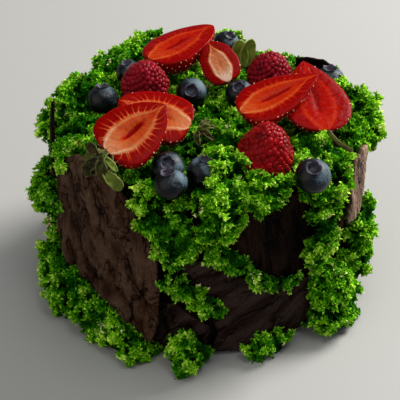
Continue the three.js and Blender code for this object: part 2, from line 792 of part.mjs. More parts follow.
// Torn strips and clumps of moss. Each path row is an azimuth, a place v on the cake's skin, the half width
// and the height of the clump there.
const MOSS = [
  { name: "moss_front_lump", path: [[3, 89, 10, 13], [4, 80, 11, 15.5], [2, 71, 8.5, 12.5], [3, 64, 7, 9]] },
  {
    name: "moss_front_drape",
    path: [[-33, 80, 6.5, 8], [-21, 75, 9.5, 10], [-11.5, 62, 9, 9.5], [-10.5, 50, 7, 8.5]],
  },
  { name: "moss_front_rim_right", path: [[14, 76, 8.5, 15.5], [22, 77, 7, 15], [32, 78, 7, 12.5]] },
  {
    name: "moss_tongue",
    path: [[-22, 46, 3.6, 8.5], [-15, 41, 4.5, 8.5], [-6, 34, 4.6, 7], [0, 28, 5, 7], [5, 20, 4.5, 6]],
  },
  {
    name: "moss_sash",
    path: [[-1, 59.5, 4, 6], [4.5, 54.5, 5.5, 7.5], [12, 46.5, 4, 6], [22, 38, 3.8, 6], [35.5, 30.5, 4.2, 6]],
  },
  { name: "moss_right_rim", path: [[37, 74, 10, 11], [47, 77, 12, 12], [62, 77, 12, 12.5]] },
  {
    name: "moss_right_curtain",
    path: [[45, 68, 13, 9.5], [47.5, 56, 6.5, 9], [45, 45, 5.5, 9], [44, 35, 6, 9]],
  },
  { name: "moss_right_low", path: [[46, 27, 10, 9], [55, 17, 12, 13.5], [53, 8, 12, 15], [52, 1, 12, 21]] },
  { name: "moss_right_mid", path: [[77, 47, 7, 12], [77, 37, 9, 15], [74, 24, 11, 12.5], [70, 10, 9, 15]] },
  { name: "moss_right_top", path: [[75, 71, 7, 10], [86, 70, 10, 10], [96, 76, 11, 17], [103, 79, 8, 18]] },
  { name: "moss_left_flap", path: [[-92, 57, 6, 10], [-86, 46, 12, 14], [-72, 38, 8, 9]] },
  { name: "moss_left_rim", path: [[-56, 88, 10, 10], [-68, 81, 14, 11], [-76, 68, 9, 8]] },
  {
    name: "moss_left_outer",
    path: [[-110, 84, 8, 12], [-98, 80, 11, 14], [-91, 72, 9.5, 13], [-89, 64, 7.5, 12]],
  },
  {
    name: "moss_left_band",
    path: [
      [-88, 34, 7, 8.5],
      [-84, 19, 13, 12],
      [-67, 11, 16, 15],
      [-50, 9, 14, 13],
      [-36, 6, 12, 14],
      [-22, 2, 8, 14],
    ],
  },
  { name: "moss_foot_front", path: [[-14, 7, 8, 10], [-8, 4.5, 10, 17], [-1, 3, 8, 13]] },
  { name: "moss_foot_right", path: [[13, 2.5, 4, 6], [23, 3.5, 6, 10], [34, 3, 4, 5]] },
  { name: "moss_top_middle", path: [[30, 99, 8, 18.5], [17, 97, 10, 16], [2, 99, 9, 13.5]] },
  {
    name: "moss_back_left_rim",
    path: [[-118, 81, 10, 9], [-133, 82, 10, 10.5], [-146, 79, 9, 11], [-159, 79, 9, 20]],
  },
  { name: "moss_back_rim", path: [[-170, 74, 9, 10], [-182, 70, 9, 8], [-196, 68, 9, 8]] },
  { name: "moss_back_right_rim", path: [[150, 70, 10, 7], [134, 70, 10, 8], [118, 72, 10, 9]] },
  { name: "moss_back_drape", path: [[104, 62, 9, 10], [112, 50, 10, 10], [124, 37, 10, 9], [140, 27, 8, 9]] },
  { name: "moss_back_foot_right", path: [[98, 9, 10, 12], [114, 7, 11, 12], [136, 6, 10, 11]] },
  {
    name: "moss_back_tongue",
    path: [[-146, 62, 11, 10], [-154, 49, 11, 10], [-170, 35, 9, 9], [-188, 24, 8, 8]],
  },
  { name: "moss_back_foot_left", path: [[-108, 12, 11, 12], [-126, 8, 12, 13], [-150, 6, 11, 11]] },
];

const SECTION_FRONT = 5;
const SECTION_BACK = [-0.4, 0.4];
const SECTION_FLOOR = 1;

function mossSection(row, direction, step, seed) {
  const [azimuth, v, halfWidth, height] = row;
  const degree = arcPerDegree(v);
  const at = (across, along, out) =>
    skinPoint(
      azimuth + (direction.y * across + direction.x * along) / degree,
      v - direction.x * across + direction.y * along,
      out,
    );
  const section = [];
  for (let j = 0; j < SECTION_FRONT; j++) {
    const angle = (Math.PI * j) / (SECTION_FRONT - 1);
    const plain = at(halfWidth * Math.cos(angle), 0, height * Math.sin(angle));
    const wide = 1 + 0.34 * noiseAt(plain, CRAG_SIZE, seed);
    const along = 0.34 * step * noiseAt(plain, CRAG_SIZE, seed + 11);
    const out = height * Math.pow(Math.sin(angle), 0.6) * (1 + 0.3 * noiseAt(plain, CRAG_SIZE, seed + 23));
    section.push(at(halfWidth * wide * Math.cos(angle), along, Math.max(SECTION_FLOOR, out)));
  }
  for (const share of SECTION_BACK) section.push(at(halfWidth * share, 0, SECTION_FLOOR));
  for (const point of section) point.z = Math.max(point.z, 0);
  return section;
}

function mossSolid({ path }, seed) {
  const length = path.slice(1).reduce((sum, row, i) => {
    const degree = arcPerDegree(row[1]);
    return sum + Math.hypot((row[0] - path[i][0]) * degree, row[1] - path[i][1]);
  }, 0);
  const count = Math.max(4, Math.round((length + path[0][2]) / MOSS_STEP));
  const directionAt = (t) => {
    const before = splineAt(path, Math.max(0, t - 0.05));
    const after = splineAt(path, Math.min(1, t + 0.05));
    const across = (after[0] - before[0]) * arcPerDegree(after[1]);
    return new THREE.Vector2(across, after[1] - before[1]).normalize();
  };
  const rings = [];
  for (let i = 0; i <= count; i++) {
    const t = i / count;
    const [azimuth, v, halfWidth, height] = splineAt(path, t);
    const blunt = Math.pow(1 - Math.pow(Math.abs(2 * t - 1), 5), 0.5);
    const full = 0.62 + 0.38 * blunt;
    const row = [azimuth, v, halfWidth * full, height * full];
    rings.push(mossSection(row, directionAt(t), length / count, seed));
  }
  const poleAt = (t, sign) => {
    const [azimuth, v, halfWidth, height] = splineAt(path, t);
    const direction = directionAt(t);
    const reach = sign * 0.45 * halfWidth;
    const pole = skinPoint(
      azimuth + (direction.x * reach) / arcPerDegree(v),
      v + direction.y * reach,
      Math.max(SECTION_FLOOR, 0.35 * height),
    );
    return pole.setZ(Math.max(0, pole.z));
  };
  return ringSolid(rings, poleAt(0, -1), poleAt(1, 1));
}

function makeMoss() {
  MOSS.forEach((clump, index) => {
    const whole = mossSolid(clump, index);
    addMesh(clump.name, cutAround(whole, cutters), FINISH.moss);
    cutters.push(grownSolid(whole, CUT_GAP));
  });
}

makeCore();
makeSheets();
makeStrawberries();
makeRaspberries();
makeBlueberries();
makeCalyxes();
makeStalk();
makeShards();
makeBed();
makeMoss();

export default cake;
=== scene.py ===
import math
from functools import partial

import bmesh
import bpy
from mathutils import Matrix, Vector, noise


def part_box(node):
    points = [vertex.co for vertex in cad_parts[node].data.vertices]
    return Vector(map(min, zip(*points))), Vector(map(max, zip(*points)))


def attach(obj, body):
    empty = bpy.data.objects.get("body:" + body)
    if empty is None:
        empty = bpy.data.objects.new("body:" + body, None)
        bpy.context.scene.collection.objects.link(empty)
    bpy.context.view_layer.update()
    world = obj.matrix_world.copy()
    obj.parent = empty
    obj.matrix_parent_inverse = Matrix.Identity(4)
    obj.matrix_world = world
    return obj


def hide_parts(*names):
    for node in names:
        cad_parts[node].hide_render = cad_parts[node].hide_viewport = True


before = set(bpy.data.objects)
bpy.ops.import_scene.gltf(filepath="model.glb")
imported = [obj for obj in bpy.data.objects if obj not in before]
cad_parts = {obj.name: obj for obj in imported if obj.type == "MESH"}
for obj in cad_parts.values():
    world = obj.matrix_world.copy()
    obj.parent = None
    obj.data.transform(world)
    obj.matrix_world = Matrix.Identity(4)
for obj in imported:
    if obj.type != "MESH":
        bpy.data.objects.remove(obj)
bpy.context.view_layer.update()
mm = 0.001
scene = bpy.context.scene


# Node helpers: a value may be a number, a colour or a socket, and a socket knows its own tree.
def treeOf(values):
    return next(value.id_data for value in values if isinstance(value, bpy.types.NodeSocket))


def feed(socket, value):
    if isinstance(value, bpy.types.NodeSocket):
        socket.id_data.links.new(value, socket)
    else:
        socket.default_value = value


def feedAll(sockets, values):
    for socket, value in zip(sockets, values):
        feed(socket, value)


def addNode(tree, kind, inputs=None, **settings):
    node = tree.nodes.new(kind)
    for name, value in settings.items():
        setattr(node, name, value)
    for name, value in (inputs or {}).items():
        feed(node.inputs[name], value)
    return node


# A node of which only the first output is used.
def step(tree, kind, inputs=None, **settings):
    return addNode(tree, kind, inputs, **settings).outputs[0]


def calc(operation, *values, clamp=False):
    node = addNode(treeOf(values), "ShaderNodeMath", operation=operation, use_clamp=clamp)
    feedAll(node.inputs, values)
    return node.outputs[0]


plus = partial(calc, "ADD")
minus = partial(calc, "SUBTRACT")
times = partial(calc, "MULTIPLY")
divide = partial(calc, "DIVIDE")
timesPlus = partial(calc, "MULTIPLY_ADD")


def vecCalc(operation, *values):
    node = addNode(treeOf(values), "ShaderNodeVectorMath", operation=operation)
    feedAll([node.inputs[0], node.inputs["Scale"]] if operation == "SCALE" else node.inputs, values)
    return node.outputs["Value" if operation == "DOT_PRODUCT" else "Vector"]


def axesOf(vector):
    return addNode(vector.id_data, "ShaderNodeSeparateXYZ", {0: vector}).outputs


def vectorOf(*parts):
    node = addNode(treeOf(parts), "ShaderNodeCombineXYZ")
    feedAll(node.inputs, parts)
    return node.outputs[0]


def remap(value, low, high, newLow=0.0, newHigh=1.0, kind="LINEAR"):
    node = addNode(value.id_data, "ShaderNodeMapRange", interpolation_type=kind)
    feedAll(node.inputs, (value, low, high, newLow, newHigh))
    return node.outputs[0]


ease = partial(remap, kind="SMOOTHSTEP")


def blendColors(factor, first, second):
    node = addNode(factor.id_data, "ShaderNodeMix", data_type="RGBA")
    feedAll((node.inputs[0], node.inputs[6], node.inputs[7]), (factor, first, second))
    return node.outputs[2]


def colorSteps(value, stops):
    node = addNode(value.id_data, "ShaderNodeValToRGB")
    ramp = node.color_ramp
    while len(ramp.elements) < len(stops):
        ramp.elements.new(0.5)
    for element, (place, color) in zip(ramp.elements, stops):
        element.position = place
        element.color = (*color, 1)
    feed(node.inputs[0], value)
    return node.outputs[0]


def noiseAt(vector, scale, detail=2.0, roughness=0.5, distortion=0.0):
    return step(vector.id_data, "ShaderNodeTexNoise", {
        "Vector": vector, "Scale": scale, "Detail": detail, "Roughness": roughness, "Distortion": distortion,
    })


def cellsAt(vector, scale, feature="F1"):
    inputs = {"Vector": vector, "Scale": scale}
    return addNode(vector.id_data, "ShaderNodeTexVoronoi", inputs, feature=feature).outputs["Distance"]


edgesAt = partial(cellsAt, feature="DISTANCE_TO_EDGE")


# Pushes in all directions, taken from the colour of a noise.
def shake(vector, scale, detail, reach):
    wave = addNode(vector.id_data, "ShaderNodeTexNoise", {"Vector": vector, "Scale": scale, "Detail": detail})
    return vecCalc("SCALE", vecCalc("SUBTRACT", wave.outputs["Color"], (0.5, 0.5, 0.5)), reach)


def addSockets(tree, way, kinds):
    for label, kind in kinds.items():
        tree.interface.new_socket(label, in_out=way, socket_type="NodeSocket" + kind)


# A geometry tree with number inputs, others by their kind, and the finish that it ends with.
def makeTree(name, numbers, **others):
    tree = bpy.data.node_groups.new(name, "GeometryNodeTree")
    kinds = {"Geometry": "Geometry", **dict.fromkeys(numbers, "Float"), **others, "finish": "Material"}
    addSockets(tree, "INPUT", kinds)
    addSockets(tree, "OUTPUT", {"Geometry": "Geometry"})
    return tree, tree.nodes.new("NodeGroupInput").outputs


def endTree(geometry, given):
    tree = geometry.id_data
    realized = step(tree, "GeometryNodeRealizeInstances", {"Geometry": geometry})
    painted = step(tree, "GeometryNodeSetMaterial", {"Geometry": realized, "Material": given["finish"]})
    tree.links.new(painted, tree.nodes.new("NodeGroupOutput").inputs[0])
    return tree


# Stores a value on the geometry under a name, for another tree or a material to read.
def store(geometry, name, value, kind="FLOAT", domain="POINT"):
    inputs = {"Geometry": geometry, "Name": name, "Value": value}
    return step(geometry.id_data, "GeometryNodeStoreNamedAttribute", inputs, data_type=kind, domain=domain)


def storedValue(tree, name):
    return step(tree, "GeometryNodeInputNamedAttribute", {"Name": name}, data_type="FLOAT")


def placed(geometry, **places):
    return step(geometry.id_data, "GeometryNodeSetPosition", {"Geometry": geometry, **places})


def smoothed(geometry):
    return step(geometry.id_data, "GeometryNodeSetShadeSmooth", {"Geometry": geometry})


def isBelow(value, limit):
    return step(value.id_data, "FunctionNodeCompare", {"A": value, "B": limit}, operation="LESS_THAN")


# Random vectors between two vectors, or random numbers between two numbers.
def randomBetween(seed, low, high):
    index = 0 if isinstance(low, tuple) else 1
    kind = ("FLOAT_VECTOR", "FLOAT")[index]
    node = addNode(seed.id_data, "FunctionNodeRandomValue", {"Seed": seed}, data_type=kind)
    feedAll(node.inputs[2 * index:], (low, high))
    return node.outputs[index]


# Points scattered over the chosen faces, no closer than the spacing.
def scatter(mesh, chosen, spacing, densest, seed):
    return addNode(mesh.id_data, "GeometryNodeDistributePointsOnFaces", {
        "Mesh": mesh, "Selection": chosen, "Distance Min": spacing, "Density Max": densest, "Seed": seed,
    }, distribute_method="POISSON").outputs


# Mesh helpers.
def link(obj):
    scene.collection.objects.link(obj)
    return obj


def objectFrom(shape, name):
    mesh = bpy.data.meshes.new(name)
    shape.to_mesh(mesh)
    shape.free()
    return link(bpy.data.objects.new(name, mesh))


def copyOf(name, meshes, merged=False):
    shape = bmesh.new()
    for mesh in meshes:
        shape.from_mesh(mesh)
    if merged:
        bmesh.ops.remove_doubles(shape, verts=shape.verts, dist=1e-6)
    return objectFrom(shape, name)


# A copy of one solid with its loose triangles merged, to be remeshed evenly before its tree shapes it.
def evenCopy(nodeName, ending, voxelMm):
    piece = copyOf(nodeName + ending, [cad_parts[nodeName].data], merged=True)
    remesh = piece.modifiers.new("even", "REMESH")
    remesh.mode = "VOXEL"
    remesh.voxel_size = voxelMm * mm
    remesh.use_smooth_shade = True
    return piece


# Several objects joined into the first one, which takes the new name.
def joinedPatches(name, patches):
    with bpy.context.temp_override(active_object=patches[0], selected_editable_objects=patches):
        bpy.ops.object.join()
    patches[0].name = patches[0].data.name = name
    return patches[0]


# Faces between the rings, and a pole at each end that stands off the ring's middle by the shift.
def closeRings(shape, rings, shift):
    count = len(rings[0])
    turns = [(j, (j + 1) % count) for j in range(count)]
    for first, second in zip(rings, rings[1:]):
        for j, k in turns:
            shape.faces.new((first[j], first[k], second[k], second[j]))
    poles = []
    for ring, way in ((rings[0], -1), (rings[-1], 1)):
        middle = sum((vert.co for vert in ring), Vector()) / count
        pole = shape.verts.new(middle + shift * way)
        for j, k in turns:
            shape.faces.new((ring[j], ring[k], pole))
        poles.append(pole)
    bmesh.ops.recalc_face_normals(shape, faces=shape.faces)
    for polygon in shape.faces:
        polygon.smooth = True
    return poles


# Length and square axes of a piece that runs from start to end with one side facing a given way.
def axesAlong(start, end, facing):
    along = (end - start).normalized()
    up = Vector(facing)
    up = (up - along * up.dot(along)).normalized()
    return (end - start).length, along, up, along.cross(up)


def turnUpTo(direction):
    return Vector((0, 0, 1)).rotation_difference(Vector(direction).normalized())


def applyTree(obj, tree, values):
    modifier = obj.modifiers.new(tree.name, "NODES")
    modifier.node_group = tree
    for item in tree.interface.items_tree:
        if item.in_out == "INPUT" and item.name in values:
            modifier[item.identifier] = values[item.name]
    return bake(obj)


# Turns the evaluated modifiers into a plain mesh.
def bake(obj):
    graph = bpy.context.evaluated_depsgraph_get()
    mesh = bpy.data.meshes.new_from_object(obj.evaluated_get(graph))
    obj.modifiers.clear()
    old = obj.data
    obj.data = mesh
    mesh.name = obj.name
    bpy.data.meshes.remove(old)
    return obj


def settle(obj, slot, *nodeNames):
    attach(obj, "root")
    if nodeNames:
        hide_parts(*nodeNames)


# Camera and studio.
view = {"lensMm": 126, "sensorMm": 36, "placeMm": (-3.045, -464.32, 391.23), "aimMm": (-3.045, 0, 33.756)}
cameraData = bpy.data.cameras.new("camera")
cameraData.lens = view["lensMm"]
cameraData.sensor_width = view["sensorMm"]
cameraData.clip_start = 0.01
camera = link(bpy.data.objects.new("camera", cameraData))
camera.location = Vector(view["placeMm"]) * mm
aim = Vector(view["aimMm"]) * mm
camera.rotation_euler = (aim - camera.location).to_track_quat("-Z", "Y").to_euler()
scene.camera = camera

studio = {
    "floorSizeM": 6, "floorColor": (0.36, 0.355, 0.34, 1), "floorRoughness": 0.6,
    "skyColor": (0.88, 0.94, 1, 1), "skyStrength": 0.24,
}
lights = {
    "windowLight": {"placeM": (0.9, 0.6, 0.8), "sizeM": 0.6, "watts": 32, "color": (1, 0.98, 0.95)},
    "topFill": {"placeM": (0.2, -0.1, 1.2), "sizeM": 0.7, "watts": 4.5, "color": (1, 1, 1)},
    "frontFill": {"placeM": (-1.0, -0.7, 0.8), "sizeM": 1.6, "watts": 6.5, "color": (1, 0.96, 0.88)},
}
world = bpy.data.worlds.new("softSky")
world.use_nodes = True
background = world.node_tree.nodes["Background"]
background.inputs["Color"].default_value = studio["skyColor"]
background.inputs["Strength"].default_value = studio["skyStrength"]
scene.world = world
scene.view_settings.view_transform = "Standard"

floorMesh = bpy.data.meshes.new("floor")
reach = studio["floorSizeM"] / 2
corners = [(-reach, -reach, 0), (reach, -reach, 0), (reach, reach, 0), (-reach, reach, 0)]
floorMesh.from_pydata(corners, [], [(0, 1, 2, 3)])
floor = link(bpy.data.objects.new("floor", floorMesh))
floorPaint = bpy.data.materials.new("paleFloor")
floorPaint.use_nodes = True
floorShader = floorPaint.node_tree.nodes["Principled BSDF"]
floorShader.inputs["Base Color"].default_value = studio["floorColor"]
floorShader.inputs["Roughness"].default_value = studio["floorRoughness"]
floorMesh.materials.append(floorPaint)

for name, setting in lights.items():
    lamp = bpy.data.lights.new(name, "AREA")
    lamp.shape = "DISK"
    lamp.size = setting["sizeM"]
    lamp.energy = setting["watts"]
    lamp.color = setting["color"]
    lampObject = link(bpy.data.objects.new(name, lamp))
    lampObject.location = setting["placeM"]
    lampObject.rotation_euler = (aim - lampObject.location).to_track_quat("-Z", "Y").to_euler()
print("camera and studio set")


# Shared finish parts: groups that put out masks or a roughness.
def makeGroup(name, inputs, outputs):
    tree = bpy.data.node_groups.new(name, "ShaderNodeTree")
    addSockets(tree, "INPUT", dict.fromkeys(inputs, "Float"))
    addSockets(tree, "OUTPUT", dict.fromkeys(outputs, "Float"))
    return tree, tree.nodes.new("NodeGroupInput").outputs, tree.nodes.new("NodeGroupOutput").inputs


def objectPlace(tree):
    return addNode(tree, "ShaderNodeTexCoord").outputs["Object"]


# Mottling: slow patches with fine grain over them.
def makeMottle():
    tree, given, made = makeGroup("mottle", ("patch scale", "grain scale"), ("patch", "grain"))
    place = objectPlace(tree)
    feed(made["patch"], noiseAt(place, given["patch scale"], 2.0, 0.5, 0.4))
    feed(made["grain"], noiseAt(place, given["grain scale"], 3.0, 0.65))
    return tree


# Wet film: a thin gloss that breaks up in small patches.
def makeWetness():
    tree, given, made = makeGroup("wetness", ("scale", "dry", "wet"), ("roughness",))
    patch = noiseAt(objectPlace(tree), given["scale"], 2.0, 0.6)
    feed(made["roughness"], remap(patch, 0.35, 0.65, given["wet"], given["dry"]))
    return tree


mottle = makeMottle()
wetness = makeWetness()


def addGroup(tree, group, inputs):
    node = tree.nodes.new("ShaderNodeGroup")
    node.node_tree = group
    for name, value in inputs.items():
        feed(node.inputs[name], value)
    return node.outputs


def attributeOf(tree, name, output="Fac"):
    return addNode(tree, "ShaderNodeAttribute", attribute_name=name).outputs[output]


# A look holds the shader's plain values, the scales of its patches and grain, its colours, and its relief
# as a depth in millimetres and a strength. The material comes with its tree, shader and mottling.
def newFinish(name, look):
    material = bpy.data.materials.new(name)
    material.use_nodes = True
    tree = material.node_tree
    shader = tree.nodes["Principled BSDF"]
    for socket, value in look["plain"].items():
        shader.inputs[socket].default_value = value
    patchScale, grainScale = look["scales"]
    spread = addGroup(tree, mottle, {"patch scale": patchScale, "grain scale": grainScale})
    return material, tree, shader, spread


def paint(shader, color, height, relief):
    depthMm, strength = relief
    inputs = {"Height": height, "Distance": depthMm * mm, "Strength": strength}
    feed(shader.inputs["Base Color"], color)
    feed(shader.inputs["Normal"], step(shader.id_data, "ShaderNodeBump", inputs))


def wetten(shader, film):
    feed(shader.inputs["Roughness"], addGroup(shader.id_data, wetness, film)["roughness"])


# Torn sponge moss: each clump is grown from its solid as a level surface with crags, frills and pores.
moss = {
    "sizesMm": {
        "voxel": 0.77, "crag size": 7.5, "crag depth": 4.4, "frill size": 3.0, "frill depth": 3.4,
        "pore size": 1.6, "pore depth": 1.2,
    },
    "baseVoxelMm": 1.6, "marginMm": 5, "lowestMm": 0.1, "warpScale": 320.0, "warpMm": 6, "scrapPoints": 250.0,
    "swellMm": 0.1, "fullerMm": {"moss_front_drape": 0.8, "moss_front_lump": 0.5},
}
# How fresh and light each clump is, partly painted light: the clumps that face the window light get more of
# the light green. The others take the plain value.
plainFreshnessAndLight = 0.4
freshnessAndLight = {
    "moss_front_lump": 1.1, "moss_right_top": 1.5, "moss_right_rim": 1.4, "moss_right_mid": 1.0,
    "moss_front_rim_right": 1.0, "moss_right_curtain": 0.8, "moss_left_band": 0.6, "moss_sash": 0.5,
}
mossNodes = sorted(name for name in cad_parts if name.startswith("moss_"))


# Distance into the base shape: positive inside it.
def signedDepth(shape, place):
    tree = shape.id_data
    near = addNode(tree, "GeometryNodeProximity", {"Target": shape, "Source Position": place}).outputs
    inputs = {"Mesh": shape, "Sample Position": place}
    outward = addNode(tree, "GeometryNodeSampleNearestSurface", inputs, data_type="FLOAT_VECTOR")
    feed(outward.inputs["Value"], step(tree, "GeometryNodeInputNormal"))
    away = vecCalc("SUBTRACT", place, near["Position"])
    side = calc("SIGN", vecCalc("DOT_PRODUCT", away, outward.outputs[0]))
    return times(times(near["Distance"], side), -1)


# Deletes the loose scraps: islands with fewer points than given.
def dropScraps(geometry, fewest):
    tree = geometry.id_data
    island = addNode(tree, "GeometryNodeInputMeshIsland").outputs["Island Index"]
    inputs = {"Value": 1.0, "Group Index": island}
    count = addNode(tree, "GeometryNodeAccumulateField", inputs, domain="POINT").outputs["Total"]
    inputs = {"Geometry": geometry, "Selection": isBelow(count, fewest)}
    return step(tree, "GeometryNodeDeleteGeometry", inputs, domain="POINT")


def makeMossTree():
    numbers = (*moss["sizesMm"], "swell", "fresh")
    tree, given = makeTree("spongeMoss", numbers, low="Vector", high="Vector")
    place = step(tree, "GeometryNodeInputPosition")
    depth = signedDepth(given["Geometry"], place)
    bent = vecCalc("ADD", place, shake(place, moss["warpScale"], 2.0, moss["warpMm"] * mm))
    crag = noiseAt(place, divide(1, given["crag size"]), 1.0)
    frill = cellsAt(bent, divide(1, given["frill size"]))
    pore = cellsAt(bent, divide(1, given["pore size"]))
    density = plus(depth, given["swell"])
    for wave, size in ((crag, "crag depth"), (frill, "frill depth"), (pore, "pore depth")):
        density = timesPlus(times(minus(wave, 0.5), given[size]), 2, density)
    span = axesOf(vecCalc("SUBTRACT", given["high"], given["low"]))
    cube = step(tree, "GeometryNodeVolumeCube", {
        "Density": times(density, 1000), "Background": -5.0, "Min": given["low"], "Max": given["high"],
        **{"Resolution " + axis: divide(span[axis], given["voxel"]) for axis in "XYZ"},
    })
    grown = step(tree, "GeometryNodeVolumeToMesh", {"Volume": cube, "Threshold": 0.0})
    grown = dropScraps(grown, moss["scrapPoints"])
    below = timesPlus(given["swell"], 1.5, signedDepth(given["Geometry"], place))
    grown = store(grown, "depthMm", times(below, 1000))
    grown = store(grown, "fresh", given["fresh"])
    return endTree(smoothed(grown), given)


# Share of the deep green: patchy, and less of it on the fresh clumps, so the less lit clumps are darker. This
# is partly painted shade.
def deepShare(patch):
    shifted = timesPlus(attributeOf(patch.id_data, "fresh"), -0.3, plus(patch, 0.15))
    return remap(shifted, 0.4, 0.6)


mossLook = {
    "plain": {"Roughness": 0.95, "Specular IOR Level": 0.03}, "scales": (75.0, 900.0), "relief": (0.9, 0.8),
    "warpScale": 700.0, "warpMm": 1.6, "poreScales": (800.0, 1500.0), "toastedScale": 150.0,
    "fresh": [
        (0.0, (0.0003, 0.005, 0.0001)), (0.3, (0.004, 0.045, 0.0003)), (0.6, (0.03, 0.18, 0.001)),
        (0.85, (0.13, 0.42, 0.004)), (1.0, (0.34, 0.66, 0.03)),
    ],
    "deep": [
        (0.0, (0.0002, 0.004, 0.0001)), (0.35, (0.003, 0.04, 0.0003)), (0.65, (0.014, 0.13, 0.001)),
        (0.9, (0.06, 0.28, 0.003)), (1.0, (0.2, 0.46, 0.02)),
    ],
    "toasted": (0.42, 0.3, 0.07, 1),
}


# Fresh and deep green by tone, laid in patches.
def mossGreen(look, tone, patch):
    return blendColors(deepShare(patch), colorSteps(tone, look["fresh"]), colorSteps(tone, look["deep"]))


def makeMossFinish():
    material, tree, shader, spread = newFinish("mossSponge", mossLook)
    place = objectPlace(tree)
    bent = vecCalc("ADD", place, shake(place, mossLook["warpScale"], 1.0, mossLook["warpMm"] * mm))
    coarse, small = (cellsAt(bent, scale) for scale in mossLook["poreScales"])
    web = plus(times(coarse, 0.9), times(small, 0.5))
    # Painted shade and highlight: the tone is darker in the pore pits and deeper into the moss, and lighter
    # on the raised ridges between the pits.
    height = minus(web, times(attributeOf(tree, "depthMm"), 0.28))
    height = plus(height, times(spread["grain"], 0.5))
    tone = remap(height, 0.3, 1.9)
    color = mossGreen(mossLook, tone, spread["patch"])
    clusters = remap(noiseAt(place, mossLook["toastedScale"], 1.0), 0.64, 0.72)
    color = blendColors(times(clusters, remap(tone, 0.6, 0.9)), color, mossLook["toasted"])
    paint(shader, color, web, mossLook["relief"])
    return material


# Torn curls that stand off the raised parts of the moss: small bent cones with three sides.
curls = {
    "lengthMm": 1.75, "radiusMm": 0.55, "flat": 0.6, "bend": 0.6, "lean": 1.0, "sunkMm": 0.35,
    "spacingMm": 1.45, "densest": 2500000.0, "raisedMm": -0.4, "lowestMm": 3.0, "kinds": 4,
    "smallest": (0.6, 0.6, 0.5), "largest": (1.5, 1.3, 1.3),
}


def makeCurlTree():
    tree, given = makeTree("mossCurls", ("spacing", "raised"), seed="Int")
    depth = storedValue(tree, "depthMm")
    axes = axesOf(step(tree, "GeometryNodeInputPosition"))
    tooLow = times(calc("LESS_THAN", axes[2], curls["lowestMm"] * mm), 100)
    chosen = isBelow(plus(depth, tooLow), given["raised"])
    spots = scatter(given["Geometry"], chosen, given["spacing"], curls["densest"], given["seed"])
    length = curls["lengthMm"] * mm
    cone = step(tree, "GeometryNodeMeshCone", {
        "Vertices": 3, "Side Segments": 2, "Fill Segments": 1, "Radius Top": 0.0,
        "Radius Bottom": curls["radiusMm"] * mm, "Depth": length,
    })
    share = divide(axes[2], length)
    swell = timesPlus(calc("SINE", times(share, math.pi)), 0.9, 1)
    curve = times(times(share, share), length * curls["bend"])
    thin = timesPlus(axes[1], curls["flat"], curve)
    rise = minus(minus(axes[2], times(curve, 0.5)), curls["sunkMm"] * mm)
    bent = placed(store(cone, "tip", share), Position=vectorOf(times(axes[0], swell), thin, rise))
    lean = curls["lean"]
    spin = randomBetween(plus(given["seed"], 3), (-lean, -lean, -math.pi), (lean, lean, math.pi))
    turn = {"Rotation": spots["Rotation"], "Rotate By": spin}
    laid = step(tree, "GeometryNodeInstanceOnPoints", {
        "Points": spots["Points"], "Instance": bent,
        "Rotation": step(tree, "FunctionNodeRotateRotation", turn, rotation_space="LOCAL"),
        "Scale": randomBetween(plus(given["seed"], 5), curls["smallest"], curls["largest"]),
    })
    tinted = store(laid, "tint", randomBetween(plus(given["seed"], 9), 0.0, 1.0), domain="INSTANCE")
    return endTree(tinted, given)


curlLook = {
    "plain": {"Roughness": 0.9, "Specular IOR Level": 0.05}, "scales": (75.0, 1500.0), "relief": (0.2, 0.5),
    "byTip": 0.4, "byTint": 0.35, "byGrain": 0.5, "byDepth": -0.16, "lift": 0.05, "dryScale": 110.0,
    "fresh": [
        (0.0, (0.001, 0.022, 0.0002)), (0.45, (0.055, 0.26, 0.002)), (0.75, (0.25, 0.6, 0.009)),
        (1.0, (0.62, 0.9, 0.11)),
    ],
    "deep": [
        (0.0, (0.0005, 0.016, 0.0002)), (0.45, (0.02, 0.145, 0.0015)), (0.75, (0.1, 0.37, 0.005)),
        (1.0, (0.38, 0.66, 0.06)),
    ],
    "dry": (0.95, 0.82, 0.42, 1),
}


def makeCurlFinish():
    material, tree, shader, spread = newFinish("mossCurl", curlLook)
    tint = attributeOf(tree, "tint")
    # Painted light and shade: each curl is lighter towards its free tip and darker the deeper it stands in
    # the moss, over its own random tint and grain.
    tone = timesPlus(attributeOf(tree, "tip"), curlLook["byTip"], times(tint, curlLook["byTint"]))
    tone = timesPlus(minus(spread["grain"], 0.5), curlLook["byGrain"], tone)
    tone = timesPlus(attributeOf(tree, "depthMm"), curlLook["byDepth"], plus(tone, curlLook["lift"]))
    color = mossGreen(curlLook, tone, spread["patch"])
    clusters = remap(noiseAt(objectPlace(tree), curlLook["dryScale"], 1.0), 0.64, 0.68)
    color = blendColors(times(clusters, remap(tint, 0.7, 0.74)), color, curlLook["dry"])
    paint(shader, color, spread["grain"], curlLook["relief"])
    return material


mossTree = makeMossTree()
mossFinish = makeMossFinish()
mossPieces = []
for nodeName in mossNodes:
    piece = evenCopy(nodeName, "_sponge", moss["baseVoxelMm"])
    low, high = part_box(nodeName)
    margin = Vector((moss["marginMm"] * mm,) * 3)
    low, high = low - margin, high + margin
    low.z = max(low.z, moss["lowestMm"] * mm)
    applyTree(piece, mossTree, {
        **{label: size * mm for label, size in moss["sizesMm"].items()},
        "swell": moss["fullerMm"].get(nodeName, moss["swellMm"]) * mm,
        "fresh": freshnessAndLight.get(nodeName, plainFreshnessAndLight), "low": low, "high": high, "finish": mossFinish,
    })
    mossPieces.append(piece)
    settle(piece, "moss", nodeName)
print("moss grown,", sum(len(piece.data.polygons) for piece in mossPieces), "faces")

